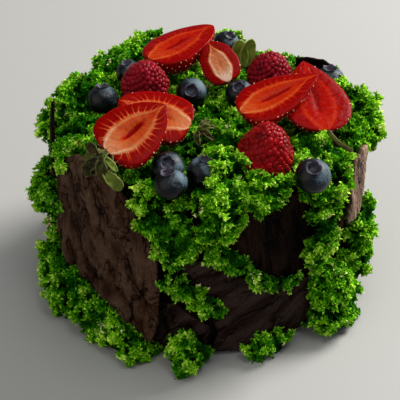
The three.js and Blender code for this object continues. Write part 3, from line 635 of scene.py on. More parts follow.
curlTree = makeCurlTree()
curlValues = {"spacing": curls["spacingMm"] * mm, "raised": curls["raisedMm"], "finish": makeCurlFinish()}
for kind in range(curls["kinds"]):
    patches = []
    for index, piece in enumerate(mossPieces):
        patch = link(bpy.data.objects.new(f"patch_{kind}_{index}", piece.data.copy()))
        patches.append(applyTree(patch, curlTree, {**curlValues, "seed": 100 * kind + index}))
    merged = joinedPatches(f"moss_curls_{kind + 1}", patches)
    print("moss curls,", len(merged.data.polygons), "faces")
    settle(merged, "moss")


# Chocolate sheets: crumpled relief that follows each sheet round the cake.
sheets = {
    "voxelMm": 0.6, "roundSteps": 2, "sideRadiusMm": 57, "creaseSizeMm": 6.2, "creaseDepthMm": 4.4,
    "middle": 0.42, "warpM": 0.009, "foldShare": 0.85, "raggedMm": 1.0, "tearScale": 420.0,
}
# What each sheet has of its own; the rest is as in the plain one.
plainSheet = {"grainDegrees": 15, "stretch": 2.6, "depthShare": 1, "finish": "chocolateSheet"}
ownSheets = {
    "sheet_left_front": {"grainDegrees": 8, "stretch": 2.5},
    "sheet_front_low": {"grainDegrees": -55, "stretch": 4.0, "depthShare": 0.5, "finish": "smoothChocolate"},
    "sheet_corner": {"grainDegrees": -35, "depthShare": 0.7, "finish": "smoothChocolate"},
    # The near-black finish on the front high sheet is painted shade from the moss that overhangs it; the
    # shards take the same finish.
    "sheet_front_high": {"grainDegrees": 5, "stretch": 5.0, "depthShare": 0.5, "finish": "darkChocolate"},
    "sheet_right_bark": {"stretch": 9.0, "depthShare": 0.5, "finish": "barkSheet"},
    "shard_left": {"depthShare": 0.25, "finish": "darkChocolate"},
    "shard_back_right": {"depthShare": 0.25, "finish": "darkChocolate"},
}
sheetNodes = sorted(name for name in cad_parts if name.startswith(("sheet_", "shard_")))


# Place on the side unrolled flat and turned by the grain: across the grain in x, along it in y.
def unrolled(place, grain, stretch):
    axes = axesOf(place)
    arc = times(calc("ARCTAN2", axes[0], times(axes[1], -1)), sheets["sideRadiusMm"] * mm)
    cosine, sine = calc("COSINE", grain), calc("SINE", grain)
    across = plus(times(arc, cosine), times(axes[2], sine))
    along = minus(times(axes[2], cosine), times(arc, sine))
    return vectorOf(across, divide(along, stretch))


# Distance to the sharp grooves between the folds, zero along them.
def foldEdges(bent, scale):
    return edgesAt(vecCalc("ADD", bent, (0.37, 0.21, 0.11)), scale)


def makeSheetTree():
    numbers = ("crease size", "crease depth", "middle", "stretch", "grain", "ragged")
    tree, given = makeTree("crumpledSheet", numbers)
    place = step(tree, "GeometryNodeInputPosition")
    flat = unrolled(place, given["grain"], given["stretch"])
    scale = divide(1, given["crease size"])
    bent = vecCalc("ADD", flat, shake(flat, times(scale, 0.9), 3.0, sheets["warpM"]))
    crease = timesPlus(cellsAt(bent, times(scale, 2.4)), 0.24, times(cellsAt(bent, scale), 0.55))
    crease = timesPlus(noiseAt(flat, times(scale, 0.35), 1.0), 0.35, crease)
    parted = remap(noiseAt(flat, times(scale, 0.8), 1.0), 0.45, 0.6)
    groove = remap(foldEdges(bent, times(scale, sheets["foldShare"])), 0.16, 0.0, 0.0, 0.2)
    level = minus(minus(crease, times(groove, parted)), given["middle"])
    outward = vecCalc("NORMALIZE", vecCalc("MULTIPLY", place, (1, 1, 0)))
    shown = ease(vecCalc("DOT_PRODUCT", step(tree, "GeometryNodeInputNormal"), outward), 0.0, 0.5)
    push = vecCalc("SCALE", outward, times(times(level, given["crease depth"]), shown))
    tear = shake(place, sheets["tearScale"], 2.0, given["ragged"])
    # The crease level is kept for the finish, which paints shade where the relief sinks and highlight where
    # it rises.
    stored = store(given["Geometry"], "crease", times(level, shown))
    stored = store(stored, "grainMap", bent, "FLOAT_VECTOR")
    return endTree(smoothed(placed(stored, Offset=vecCalc("ADD", push, tear))), given)


# Valley, middle and ridge colours, roughness, and how strongly the fine fibres show; the dark valley colour
# is painted shade and the light ridge colour a painted highlight.
chocolates = {
    "chocolateSheet": ((0.005, 0.0014, 0.0004), (0.035, 0.014, 0.007), (0.095, 0.052, 0.032), 0.6, 0.16),
    "smoothChocolate": ((0.006, 0.0018, 0.001), (0.018, 0.0088, 0.0068), (0.045, 0.027, 0.022), 0.55, 0.2),
    # Near-black chocolate: painted shade for the sheet that sits in shadow.
    "darkChocolate": ((0.001, 0.0004, 0.0002), (0.006, 0.002, 0.0008), (0.016, 0.007, 0.004), 0.7, 0.2),
    "barkSheet": ((0.008, 0.004, 0.002), (0.075, 0.045, 0.03), (0.3, 0.2, 0.14), 0.65, 0.9),
}
chocolateLook = {
    "plain": {"Specular IOR Level": 0.04}, "scales": (60.0, 1100.0), "relief": (1.0, 1.0),
    "fibreScale": 950.0, "fineScale": 420.0, "brokenScale": 260.0,
    "ridgeTone": 0.16, "grooveTone": -0.3, "crackTone": -0.32, "threadTone": 0.2,
}


# Thin wandering lines, one along them and falling to zero beside them.
def thinLines(place, scale):
    wave = noiseAt(place, scale, 4.0, 0.6)
    return ease(calc("ABSOLUTE", minus(wave, 0.5)), 0.014, 0.002)


def makeChocolateFinish(name, valleyShade, middle, crestHighlight, rough, fibre):
    material, tree, shader, spread = newFinish(name, chocolateLook)
    grainMap = attributeOf(tree, "grainMap", "Vector")
    fibres = noiseAt(grainMap, chocolateLook["fibreScale"], 2.0, 0.6, 0.3)
    scale = 1 / (sheets["creaseSizeMm"] * mm)
    parted = remap(noiseAt(grainMap, 0.8 * scale, 1.0), 0.45, 0.62)
    groove = times(ease(foldEdges(grainMap, sheets["foldShare"] * scale), 0.05, 0.005), parted)
    ridge = ease(edgesAt(grainMap, scale), 0.035, 0.005)
    ridges = plus(ridge, ease(edgesAt(grainMap, 2.4 * scale), 0.06, 0.01))
    broken = remap(noiseAt(grainMap, chocolateLook["brokenScale"], 1.0), 0.45, 0.6)
    crack, thread = thinLines(grainMap, 0.45 * scale), thinLines(grainMap, 0.75 * scale)
    # Painted shade and highlight: darker where the crumpled relief sinks and along the grooves and cracks,
    # lighter on the ridges.
    tone = plus(attributeOf(tree, "crease"), times(spread["patch"], 0.35))
    tone = timesPlus(minus(fibres, 0.5), fibre, tone)
    tone = timesPlus(times(ridges, broken), chocolateLook["ridgeTone"], tone)
    tone = timesPlus(groove, chocolateLook["grooveTone"], tone)
    tone = timesPlus(crack, chocolateLook["crackTone"], tone)
    tone = timesPlus(times(thread, broken), chocolateLook["threadTone"], tone)
    color = colorSteps(remap(tone, -0.12, 0.5), [(0.0, valleyShade), (0.5, middle), (1.0, crestHighlight)])
    feed(shader.inputs["Roughness"], remap(spread["grain"], 0.3, 0.7, rough - 0.08, rough + 0.12))
    fine = timesPlus(fibres, 0.35, noiseAt(grainMap, chocolateLook["fineScale"], 3.0, 0.65, 0.8))
    fine = timesPlus(ridges, 0.3, fine)
    fine = timesPlus(plus(groove, crack), -0.5, fine)
    paint(shader, color, fine, chocolateLook["relief"])
    return material


sheetTree = makeSheetTree()
chocolateFinishes = {name: makeChocolateFinish(name, *setting) for name, setting in chocolates.items()}
for nodeName in sheetNodes:
    own = {**plainSheet, **ownSheets.get(nodeName, {})}
    piece = evenCopy(nodeName, "_crumpled", sheets["voxelMm"])
    rounding = piece.modifiers.new("round", "SMOOTH")
    rounding.iterations = sheets["roundSteps"]
    applyTree(piece, sheetTree, {
        "crease size": sheets["creaseSizeMm"] * mm, "ragged": sheets["raggedMm"] * mm,
        "crease depth": sheets["creaseDepthMm"] * mm * own["depthShare"], "middle": sheets["middle"],
        "stretch": own["stretch"], "grain": math.radians(own["grainDegrees"]),
        "finish": chocolateFinishes[own["finish"]],
    })
    settle(piece, "chocolate", nodeName)
print("chocolate sheets crumpled")


# Solids that keep their own shape: the crumb that shows in the gaps, coloured near black as painted shade,
# and the stalk.
keptSolids = {
    "cake_core": {
        "finish": "darkSponge", "plain": {"Roughness": 0.9, "Specular IOR Level": 0.1},
        "scales": (120.0, 700.0), "relief": (1.2, 0.8), "mask": "grain",
        "colors": [(0.35, (0.002, 0.001, 0.0007)), (0.7, (0.012, 0.006, 0.004))],
    },
    "stalk_right": {
        "finish": "thinStalk", "plain": {"Roughness": 0.6, "Specular IOR Level": 0.1},
        "scales": (180.0, 1200.0), "relief": (0.2, 0.5), "mask": "patch",
        "colors": [(0.35, (0.03, 0.022, 0.004)), (0.65, (0.11, 0.12, 0.02))],
    },
}


def makeTwoTone(look):
    material, tree, shader, spread = newFinish(look["finish"], look)
    paint(shader, colorSteps(spread[look["mask"]], look["colors"]), spread["grain"], look["relief"])
    return material


for nodeName, look in keptSolids.items():
    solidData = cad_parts[nodeName].data
    solidData.materials.clear()
    solidData.materials.append(makeTwoTone(look))


# Strawberry halves, in millimetres: calyx end, tip, the way the cut face points, and how its flesh looks.
halves = {
    "strawberry_1": {
        "calyx": (-23.1, 13.5, 94.2), "tip": (2.2, 33.9, 98), "face": (-0.15, 0, 1),
        "halfWidth": 11.5, "depth": 10, "peak": 0.36, "taper": 0.61, "pale": 0.42, "rays": 0.35, "slit": 0.4,
    },
    "strawberry_2": {
        "calyx": (8.5, 3.6, 90.2), "tip": (0.4, 18.4, 99), "face": (-0.1, -0.55, 0.83),
        "halfWidth": 7.6, "depth": 6, "peak": 0.42, "taper": 0.48, "pale": 1.25, "rays": 0.3, "slit": 0.1,
    },
    "strawberry_3": {
        "calyx": (-37.2, -47.2, 92.5), "tip": (-15.8, -30.1, 101.7), "face": (-0.05, -0.42, 0.9),
        "halfWidth": 12.8, "depth": 9, "peak": 0.3, "taper": 0.71, "pale": 0.9, "rays": 1.0, "slit": 1.0,
    },
    "strawberry_4": {
        "calyx": (-7, -25.8, 89.3), "tip": (-34.1, -17.4, 95.3), "face": (0.1, -0.35, 0.93),
        "halfWidth": 11.1, "depth": 8, "peak": 0.3, "taper": 0.56, "pale": 0.85, "rays": 0.7, "slit": 0.5,
    },
    "strawberry_5": {
        "calyx": (12.4, -22.8, 93.2), "tip": (43.2, -5.1, 99.7), "face": (-0.05, -0.2, 0.97),
        "halfWidth": 10.2, "depth": 8, "peak": 0.3, "taper": 0.9, "pale": 0.55, "rays": 0.4, "slit": 0.7,
    },
    "strawberry_6": {
        "calyx": (44.9, -26.2, 87), "tip": (37.6, 5.9, 98.4), "face": (0.15, -0.3, 0.94),
        "halfWidth": 13.6, "depth": 6, "peak": 0.36, "taper": 0.9, "pale": 0.12, "rays": 0.1, "slit": 0.3,
    },
}
halfShape = {"stations": 56, "arc": 40, "across": 28, "rimMm": 0.5, "slitMm": 1.3, "poleMm": 0.4}


def halfWidthAt(t, half):
    peak, taper = half["peak"], half["taper"]
    calyxPower = taper * peak / (1 - peak)
    return half["halfWidth"] * (t / peak) ** calyxPower * ((1 - t) / (1 - peak)) ** taper


# Rings from the calyx to the tip: the skin's arc below, then the cut face back across.
def makeHalf(name, half):
    calyx = Vector(half["calyx"])
    length, along, face, side = axesAlong(calyx, Vector(half["tip"]), half["face"])
    shape = bmesh.new()
    cut = shape.verts.layers.float.new("cutFace")
    marks = {label: shape.verts.layers.float.new(label) for label in ("pale", "rays", "slit")}
    uvLayer = shape.loops.layers.uv.new("berryMap")
    rings, spots = [], {}
    for i in range(halfShape["stations"]):
        t = 0.5 - 0.5 * math.cos(math.pi * (0.035 + 0.93 * i / (halfShape["stations"] - 1)))
        width = halfWidthAt(t, half)
        width *= 1 + 0.035 * noise.noise(Vector((7 * t, 0.3 * half["halfWidth"], calyx.x)))
        ring = []
        for j in range(halfShape["arc"] + 1):
            angle = math.pi * j / halfShape["arc"]
            s = math.cos(angle)
            sink = half["depth"] / half["halfWidth"] * width * math.sin(angle) ** 0.85
            lump = 0.25 * noise.noise(Vector((3 * s, 5 * t, calyx.y)))
            ring.append((s, width * s, -sink * (1 + 0.1 * lump), 0.0))
        for j in range(1, halfShape["across"]):
            s = -1 + 2 * j / halfShape["across"]
            s = math.copysign(abs(s) ** 0.9, s)
            dome = halfShape["rimMm"] * (1 - abs(s) ** 6) * min(1, width / 4)
            core = half["slit"] * math.exp(-((s / 0.14) ** 2)) * math.exp(-(((t - 0.42) / 0.22) ** 2))
            rough = 0.22 * noise.noise(Vector((9 * s, 14 * t, calyx.z)))
            ring.append((s, width * s, dome - halfShape["slitMm"] * core + rough * (1 - s * s), 1.0))
        row = []
        for s, x, z, onFace in ring:
            vert = shape.verts.new((calyx + side * x + along * (t * length) + face * z) * mm)
            vert[cut] = onFace
            spots[vert] = (s, t)
            row.append(vert)
        rings.append(row)
    start, end = closeRings(shape, rings, along * (halfShape["poleMm"] * mm))
    spots[start], spots[end] = (0.0, 0.0), (0.0, 1.0)
    for vert in shape.verts:
        for label, layer in marks.items():
            vert[layer] = half[label]
    for polygon in shape.faces:
        for corner in polygon.loops:
            s, t = spots[corner.vert]
            corner[uvLayer].uv = (0.5 + 0.5 * s, t)
    return objectFrom(shape, name)


strawberryLook = {
    "plain": {
        "Specular IOR Level": 0.035, "Subsurface Weight": 0.1, "Subsurface Radius": (1.0, 0.25, 0.1),
        "Subsurface Scale": 0.002,
    },
    "scales": (90.0, 600.0), "relief": (0.5, 0.6), "film": {"scale": 500.0, "dry": 0.4, "wet": 0.14},
    "flesh": [
        (0.0, (0.17, 0.0006, 0.0003)), (0.15, (0.29, 0.003, 0.0005)), (0.38, (0.38, 0.028, 0.003)),
        (0.62, (0.46, 0.11, 0.03)), (0.85, (0.56, 0.25, 0.13)), (1.0, (0.64, 0.41, 0.29)),
    ],
    "rim": (0.19, 0.0004, 0.0003, 1), "skin": [(0.3, (0.13, 0.001, 0.0008)), (0.7, (0.32, 0.004, 0.002))],
}


def makeStrawberryFinish():
    material, tree, shader, skinTone = newFinish("strawberryFlesh", strawberryLook)
    axes = axesOf(step(tree, "ShaderNodeUVMap", uv_map="berryMap"))
    pale = attributeOf(tree, "pale")
    wander = times(minus(noiseAt(objectPlace(tree), 190.0, 2.0), 0.5), 0.16)
    signed = plus(timesPlus(axes[0], 2, -1), wander)
    out = calc("ABSOLUTE", signed)
    along = timesPlus(wander, 0.3, axes[1])
    # The pale loop round the heart: its vein, and the pith inside it.
    loop = times(ease(along, 1.0, 0.55, 0.0, 0.5), remap(along, -0.1, 0.25, 0.5, 1))
    beyond = minus(out, loop)
    vein = times(ease(beyond, 0.11, 0.0), ease(beyond, -0.17, 0.0))
    pith = times(ease(beyond, 0.04, -0.1), remap(along, 1.0, 0.7))
    # Rays that fan out from the loop to the rim.
    fan = divide(minus(along, 0.42), timesPlus(beyond, 0.8, 1))
    side = times(calc("SIGN", signed), 7.3)
    rayCells = addNode(tree, "ShaderNodeTexVoronoi", {
        "W": timesPlus(fan, 15, side), "Scale": 1.0, "Randomness": 0.9,
    }, voronoi_dimensions="1D").outputs["Distance"]
    rayFade = times(remap(beyond, -0.02, 0.06), remap(beyond, 0.52, 0.05, 0.25, 1.0))
    rays = times(times(ease(rayCells, 0.17, 0.02), rayFade), attributeOf(tree, "rays"))
    soft = noiseAt(vectorOf(times(fan, 26), times(signed, 3)), 1.0, 2.0, 0.6)
    slitLength = times(ease(along, 0.18, 0.38), ease(along, 0.7, 0.5))
    slit = times(times(ease(out, 0.11, 0.02), slitLength), attributeOf(tree, "slit"))
    warm = times(ease(along, 0.45, 0.02), ease(beyond, 0.12, -0.1))
    lightness = timesPlus(vein, 0.46, times(pith, timesPlus(pale, 0.34, 0.12)))
    lightness = timesPlus(warm, 0.34, lightness)
    lightness = times(lightness, timesPlus(pale, 0.75, 0.25))
    lightness = timesPlus(rays, 0.55, lightness)
    lightness = timesPlus(minus(soft, 0.4), 0.32, lightness)
    # Painted shade: the flesh is darker along the central slit, where the cut face sinks into the core.
    lightness = minus(lightness, times(slit, 0.6), clamp=True)
    flesh = colorSteps(lightness, strawberryLook["flesh"])
    flesh = blendColors(ease(out, 0.6, 0.93, 0.0, 0.92), flesh, strawberryLook["rim"])
    skin = colorSteps(skinTone["patch"], strawberryLook["skin"])
    color = blendColors(attributeOf(tree, "cutFace"), skin, flesh)
    wetten(shader, strawberryLook["film"])
    height = plus(times(lightness, 0.5), times(skinTone["grain"], 0.5))
    paint(shader, color, height, strawberryLook["relief"])
    return material


strawberryFinish = makeStrawberryFinish()
halfPieces = []
for nodeName, half in halves.items():
    piece = makeHalf(nodeName + "_half", half)
    piece.data.materials.append(strawberryFinish)
    halfPieces.append(piece)
    settle(piece, "strawberry", nodeName)
print("strawberry halves cut")


# Seeds: small flat balls scattered over the skin, and none on the cut face.
seedShape = {"spacingMm": 2.0, "sizeMm": (0.28, 0.44, 0.24), "densest": 900000.0, "seed": 4}


def makeSeedTree():
    tree, given = makeTree("strawberrySeeds", ["spacing"], size="Vector")
    onSkin = isBelow(storedValue(tree, "cutFace"), 0.3)
    spots = scatter(given["Geometry"], onSkin, given["spacing"], seedShape["densest"], seedShape["seed"])
    ball = step(tree, "GeometryNodeMeshIcoSphere", {"Radius": 1.0, "Subdivisions": 1})
    laid = step(tree, "GeometryNodeInstanceOnPoints", {
        "Points": spots["Points"], "Rotation": spots["Rotation"],
        "Instance": step(tree, "GeometryNodeTransform", {"Geometry": ball, "Scale": given["size"]}),
    })
    return endTree(smoothed(laid), given)


seedLook = {
    "plain": {"Roughness": 0.2, "Specular IOR Level": 0.6}, "scales": (400.0, 2000.0),
    "colors": [(0.35, (0.5, 0.12, 0.04)), (0.6, (0.9, 0.62, 0.38))],
}


def makeSeedFinish():
    material, tree, shader, spread = newFinish("strawberrySeed", seedLook)
    feed(shader.inputs["Base Color"], colorSteps(spread["patch"], seedLook["colors"]))
    return material


seeds = copyOf("strawberry_seeds", [piece.data for piece in halfPieces])
applyTree(seeds, makeSeedTree(), {
    "spacing": seedShape["spacingMm"] * mm, "size": Vector(seedShape["sizeMm"]) * mm,
    "finish": makeSeedFinish(),
})
settle(seeds, "strawberry")
print("seeds set")


# Raspberries: drupelets laid round a dome in a spiral of golden-angle steps.
raspberries = {
    "raspberry_1": {
        "at": (-24.9, 2.3, 89.6), "tip": (0.05, -0.25, 1), "radius": 9.6, "height": 11, "taper": 0.2,
        "count": 190, "seed": 1, "relief": 1.0, "skin": "velvetRaspberry",
    },
    "raspberry_2": {
        "at": (25, 12.8, 87.4), "tip": (0.1, -0.2, 1), "radius": 9.3, "height": 10.5, "taper": 0.2,
        "count": 180, "seed": 2, "relief": 1.0, "skin": "velvetRaspberry",
    },
    "raspberry_3": {
        "at": (21.2, -41.2, 87.5), "tip": (0.12, 0.05, 1), "radius": 11, "height": 12.8, "taper": 0.26,
        "count": 240, "seed": 3, "relief": 0.6, "skin": "glossyRaspberry",
    },
}
# The shares are of the berry's size, first where the relief is flat and then where it is full.
drupelets = {
    "turnDegrees": 137.508, "reach": 1.55, "wobble": 0.03, "layShares": (0.97, 0.91), "fill": 1.75,
    "shape": (0.96, 1.16, 0.85), "smallest": 0.86, "largest": 1.12, "heartShares": (0.965, 0.94),
}


# A point on the unit ball moved to the berry's own form, which narrows towards its tip.
def berryForm(unit, given, shares):
    share = remap(given["relief"], 0.0, 1.0, *shares)
    narrow = timesPlus(times(calc("MAXIMUM", axesOf(unit)[2], 0), given["taper"]), -1, 1)
    wide = times(times(given["radius"], narrow), share)
    return vecCalc("MULTIPLY", unit, vectorOf(wide, wide, times(given["height"], share)))


def makeRaspberryTree():
    numbers = ("radius", "height", "taper", "relief")
    others = {"count": "Int", "seed": "Int", "place": "Vector", "turn": "Rotation"}
    tree, given = makeTree("raspberryDrupelets", numbers, **others)
    line = step(tree, "GeometryNodeMeshLine", {"Count": given["count"]})
    number = step(tree, "GeometryNodeInputIndex")
    rise = timesPlus(divide(plus(number, 0.5), given["count"]), -drupelets["reach"], 1.0)
    flat = calc("SQRT", minus(1, times(rise, rise)))
    angle = times(number, math.radians(drupelets["turnDegrees"]))
    unit = vectorOf(times(flat, calc("COSINE", angle)), times(flat, calc("SINE", angle)), rise)
    wobble = drupelets["wobble"]
    unit = vecCalc("ADD", unit, randomBetween(given["seed"], (-wobble,) * 3, (wobble,) * 3))
    facing = step(tree, "FunctionNodeAlignRotationToVector", {"Vector": unit}, axis="Z")
    ball = step(tree, "GeometryNodeMeshIcoSphere", {"Radius": drupelets["fill"], "Subdivisions": 2})
    size = divide(given["radius"], calc("SQRT", given["count"]))
    vary = randomBetween(plus(given["seed"], 7), drupelets["smallest"], drupelets["largest"])
    scale = vecCalc("SCALE", drupelets["shape"], times(size, vary))
    scale = vecCalc("MULTIPLY", scale, vectorOf(1.0, 1.0, given["relief"]))
    laid = step(tree, "GeometryNodeInstanceOnPoints", {
        "Points": placed(line, Position=berryForm(unit, given, drupelets["layShares"])),
        "Instance": ball, "Rotation": facing, "Scale": scale,
    })
    heart = step(tree, "GeometryNodeMeshUVSphere", {"Segments": 32, "Rings": 20, "Radius": 1.0})
    heartSpot = berryForm(step(tree, "GeometryNodeInputPosition"), given, drupelets["heartShares"])
    both = addNode(tree, "GeometryNodeJoinGeometry")
    tree.links.new(laid, both.inputs[0])
    tree.links.new(placed(heart, Position=heartSpot), both.inputs[0])
    turned = step(tree, "GeometryNodeTransform", {
        "Geometry": both.outputs[0], "Translation": given["place"], "Rotation": given["turn"],
    })
    return endTree(smoothed(turned), given)


raspberryLook = {
    "plain": {
        "Specular IOR Level": 0.08, "Subsurface Weight": 0.15, "Subsurface Radius": (1.0, 0.15, 0.2),
        "Subsurface Scale": 0.0015,
    },
    "scales": (220.0, 1600.0), "relief": (0.15, 0.5), "filmScale": 700.0,
}
# Dark and bright colour, and how rough the wet and the dry parts of the skin are.
raspberrySkins = {
    "velvetRaspberry": ((0.1, 0.0006, 0.003), (0.25, 0.003, 0.012), 0.26, 0.41),
    "glossyRaspberry": ((0.12, 0.0005, 0.0015), (0.3, 0.002, 0.004), 0.14, 0.29),
}


def makeRaspberryFinish(name, dark, bright, wet, dry):
    material, tree, shader, spread = newFinish(name, raspberryLook)
    wetten(shader, {"scale": raspberryLook["filmScale"], "dry": dry, "wet": wet})
    color = colorSteps(spread["patch"], [(0.3, dark), (0.68, bright)])
    paint(shader, color, spread["grain"], raspberryLook["relief"])
    return material


raspberryTree = makeRaspberryTree()
raspberryFinishes = {name: makeRaspberryFinish(name, *skin) for name, skin in raspberrySkins.items()}
for nodeName, berry in raspberries.items():
    piece = copyOf(nodeName + "_drupelets", [])
    applyTree(piece, raspberryTree, {
        "radius": berry["radius"] * mm, "height": berry["height"] * mm, "taper": berry["taper"],
        "relief": berry["relief"], "count": berry["count"], "seed": berry["seed"],
        "place": Vector(berry["at"]) * mm, "turn": turnUpTo(berry["tip"]).to_euler(),
        "finish": raspberryFinishes[berry["skin"]],
    })
    settle(piece, "raspberry", nodeName)
print("raspberries laid")


# Blueberries: a slightly flat ball with a lobed crown round a hollow.
blueberries = {
    "blueberry_1": {"at": (-41.2, -4.5, 87), "crown": (0, 0.3, 1), "radius": 6.3},
    "blueberry_2": {"at": (-6.4, -1.2, 88), "crown": (0, -0.72, 0.69), "radius": 6},
    "blueberry_3": {"at": (-15, -46.4, 84.6), "crown": (0, -0.56, 0.82), "radius": 6.2},
    "blueberry_4": {"at": (-13.6, -58.2, 85.8), "crown": (-0.23, 0.05, 0.97), "radius": 6.2},
    "blueberry_5": {"at": (-1.9, -49.7, 85), "crown": (0.2, 0.12, 0.97), "radius": 6.2},
    "blueberry_6": {"at": (38.6, -50.1, 83.5), "crown": (-0.03, -0.4, 0.92), "radius": 6.7},
    "blueberry_7": {"at": (12.6, 0.6, 86.4), "crown": (-0.1, -0.42, 0.89), "radius": 5.7},
    "blueberry_8": {"at": (7.8, 34.2, 89), "crown": (0.3, -0.16, 0.94), "radius": 5.6},
    "blueberry_9": {"at": (48.8, 9.6, 86.6), "crown": (0, 0.1, 1), "radius": 6.4},
    "blueberry_10": {"at": (-31.9, 18, 85.5), "crown": (-0.2, 0, 1), "radius": 5.2},
}
berryShape = {
    "around": 60, "down": 30, "squash": 0.9, "lobes": 5, "crownShare": 0.4, "lipShare": 0.1,
    "hollowShare": 0.3, "hollowMask": 0.4,
}


# Rows from the bottom up over the lip and into the hollow: reach, height, how lobed, how much crown colour.
def berryProfile():
    crown, lip, hollow = berryShape["crownShare"], berryShape["lipShare"], berryShape["hollowShare"]
    squash = berryShape["squash"]
    rows = []
    for i in range(1, berryShape["down"]):
        angle = math.pi * (i / berryShape["down"])
        rows.append((math.sin(angle), -math.cos(angle) * squash, 0.0, 0.0))
    rows = [row for row in rows if not (row[0] < crown and row[1] > 0)]
    top = math.sqrt(1 - crown * crown) * squash
    return rows + [
        (crown, top, 0.0, 0.2), (crown * 1.0, top + 0.5 * lip, 0.5, 0.6), (crown * 1.04, top + lip, 1.0, 1.0),
        (crown * 0.94, top + lip, 1.0, 1.0), (crown * 0.84, top + 0.3 * lip, 0.5, 1.0),
        (crown * 0.76, top - 0.1, 0.0, 0.7), (crown * 0.6, top - 0.5 * hollow, 0.0, 0.5),
        (crown * 0.3, top - 0.62 * hollow, 0.0, 0.4),
    ]


def makeBlueberry(name, berry):
    radius, around, lobes = berry["radius"], berryShape["around"], berryShape["lobes"]
    turn = turnUpTo(berry["crown"])
    shape = bmesh.new()
    crownMask = shape.verts.layers.float.new("crown")
    rings = []
    for across, rise, lobe, mask in berryProfile():
        ring = []
        for j in range(around):
            a = 2 * math.pi * j / around
            point = 0.5 + 0.5 * math.cos(lobes * a)
            reach = across * (1 + 0.16 * lobe * point)
            height = rise + lobe * berryShape["lipShare"] * 0.9 * (point - 0.6)
            place = Vector((2 * math.cos(a) * across, 2 * math.sin(a) * across, 2 * rise + radius))
            dent = 1 + 0.025 * noise.noise(place)
            spot = Vector((reach * math.cos(a), reach * math.sin(a), height)) * (radius * dent)
            vert = shape.verts.new((turn @ spot + Vector(berry["at"])) * mm)
            vert[crownMask] = mask
            ring.append(vert)
        rings.append(ring)
    hollow = closeRings(shape, rings, Vector())[1]
    hollow[crownMask] = berryShape["hollowMask"]
    return objectFrom(shape, name)


blueberryLook = {
    "plain": {"Specular IOR Level": 0.2}, "scales": (170.0, 1300.0), "relief": (0.12, 0.5),
    "roughness": (0.28, 0.6), "bloomFaces": (0.55, 0.1, 0.8),
    "byFacing": 0.36, "byPatch": 1.1, "byGrain": 0.6,
    "skin": [(0.0, (0.0018, 0.002, 0.0026)), (0.5, (0.01, 0.0145, 0.019)), (1.0, (0.08, 0.125, 0.155))],
    "crown": [(0.35, (0.008, 0.007, 0.012)), (0.7, (0.085, 0.075, 0.115))],
}


def makeBlueberryFinish():
    material, tree, shader, spread = newFinish("blueberrySkin", blueberryLook)
    # Painted light: the skin is lighter where it faces up and to the right, towards the window light, on top
    # of the patchy waxy bloom.
    normal = addNode(tree, "ShaderNodeNewGeometry").outputs["Normal"]
    facing = vecCalc("DOT_PRODUCT", normal, blueberryLook["bloomFaces"])
    bloomAndLight = plus(times(facing, blueberryLook["byFacing"]), times(spread["patch"], blueberryLook["byPatch"]))
    bloomAndLight = plus(bloomAndLight, times(minus(spread["grain"], 0.5), blueberryLook["byGrain"]))
    bloomAndLight = ease(bloomAndLight, 0.5, 1.08)
    skin = colorSteps(bloomAndLight, blueberryLook["skin"])
    color = blendColors(attributeOf(tree, "crown"), skin, colorSteps(spread["grain"], blueberryLook["crown"]))
    feed(shader.inputs["Roughness"], remap(bloomAndLight, 0.0, 1.0, *blueberryLook["roughness"]))
    paint(shader, color, spread["grain"], blueberryLook["relief"])
    return material


blueberryFinish = makeBlueberryFinish()
for nodeName, berry in blueberries.items():
    piece = makeBlueberry(nodeName + "_ripe", berry)
    piece.data.materials.append(blueberryFinish)
    settle(piece, "blueberry", nodeName)
print("blueberries set")


# Leaves: thin curled blades, in millimetres, joined by their foot. Each row gives a blade's base, tip,
# the way it faces, width, bend, how blunt it ends and how dry it is.
leaves = {
    "calyx_left": [
        ((-38.5, -55.5, 90), (-31.5, -59, 84), (0.2, -0.8, 0.6), 4.6, 0.8, 1, 0.5),
        ((-40, -53, 94), (-45, -54.5, 87), (-0.5, -0.7, 0.5), 5, 1, 0.6, 1),
        ((-40, -52, 94), (-44, -47, 96), (-0.4, -0.5, 0.8), 4, 1.2, 0.4, 1),
        ((-38.5, -51.5, 93), (-33, -56, 89.8), (0.2, -0.5, 0.8), 2.6, 0.7, 0.7, 0.3),
        ((-38, -50.5, 94.5), (-42, -55.5, 88), (-0.3, -0.7, 0.7), 6, 1.4, 0.5, 0.85),
        ((-39.5, -52.5, 93.5), (-38, -57.5, 86), (0, -0.8, 0.6), 4.4, 1.3, 0.4, 1),
        ((-39, -50, 94), (-45.5, -50.5, 91), (-0.5, -0.5, 0.8), 4, 1.3, 0.3, 0.8),
        ((-36.4, -46.6, 91.8), (-41.5, -54.5, 92.4), (-0.2, -0.4, 0.9), 3.6, 0.8, 0.8, 0.9),
        ((-36.2, -46.2, 91.2), (-42.5, -50.5, 91.5), (-0.4, -0.4, 0.8), 4, 0.8, 0.8, 0.8),
        ((-36.2, -46.6, 91), (-37.5, -56, 89.6), (0.1, -0.5, 0.8), 4, 0.8, 0.8, 0.9),
    ],
    "calyx_back": [
        ((14, 17, 87.5), (12.6, 21.5, 98.5), (0, -0.9, 0.4), 7, -1, 0.6, 0.0),
        ((14.6, 17.2, 87.5), (18, 21.4, 99), (0.2, -0.9, 0.4), 6.5, -1, 0.5, 0.1),
    ],
    "calyx_middle": [
        ((-4, -29.5, 89), (2.5, -33, 87), (0, -0.3, 1), 2.6, 1, 0.2, 1),
        ((-4, -29, 89), (0.5, -22.5, 89), (0.3, -0.3, 1), 2.8, 1.2, 0.2, 0.9),
        ((-4, -29.2, 89), (-3.5, -36, 87), (-0.3, -0.3, 1), 2.4, 1, 0.2, 1),
        ((-4, -29, 89), (3, -27.5, 89.6), (0, -0.5, 1), 2, 1.4, 0.2, 0.7),
    ],
}
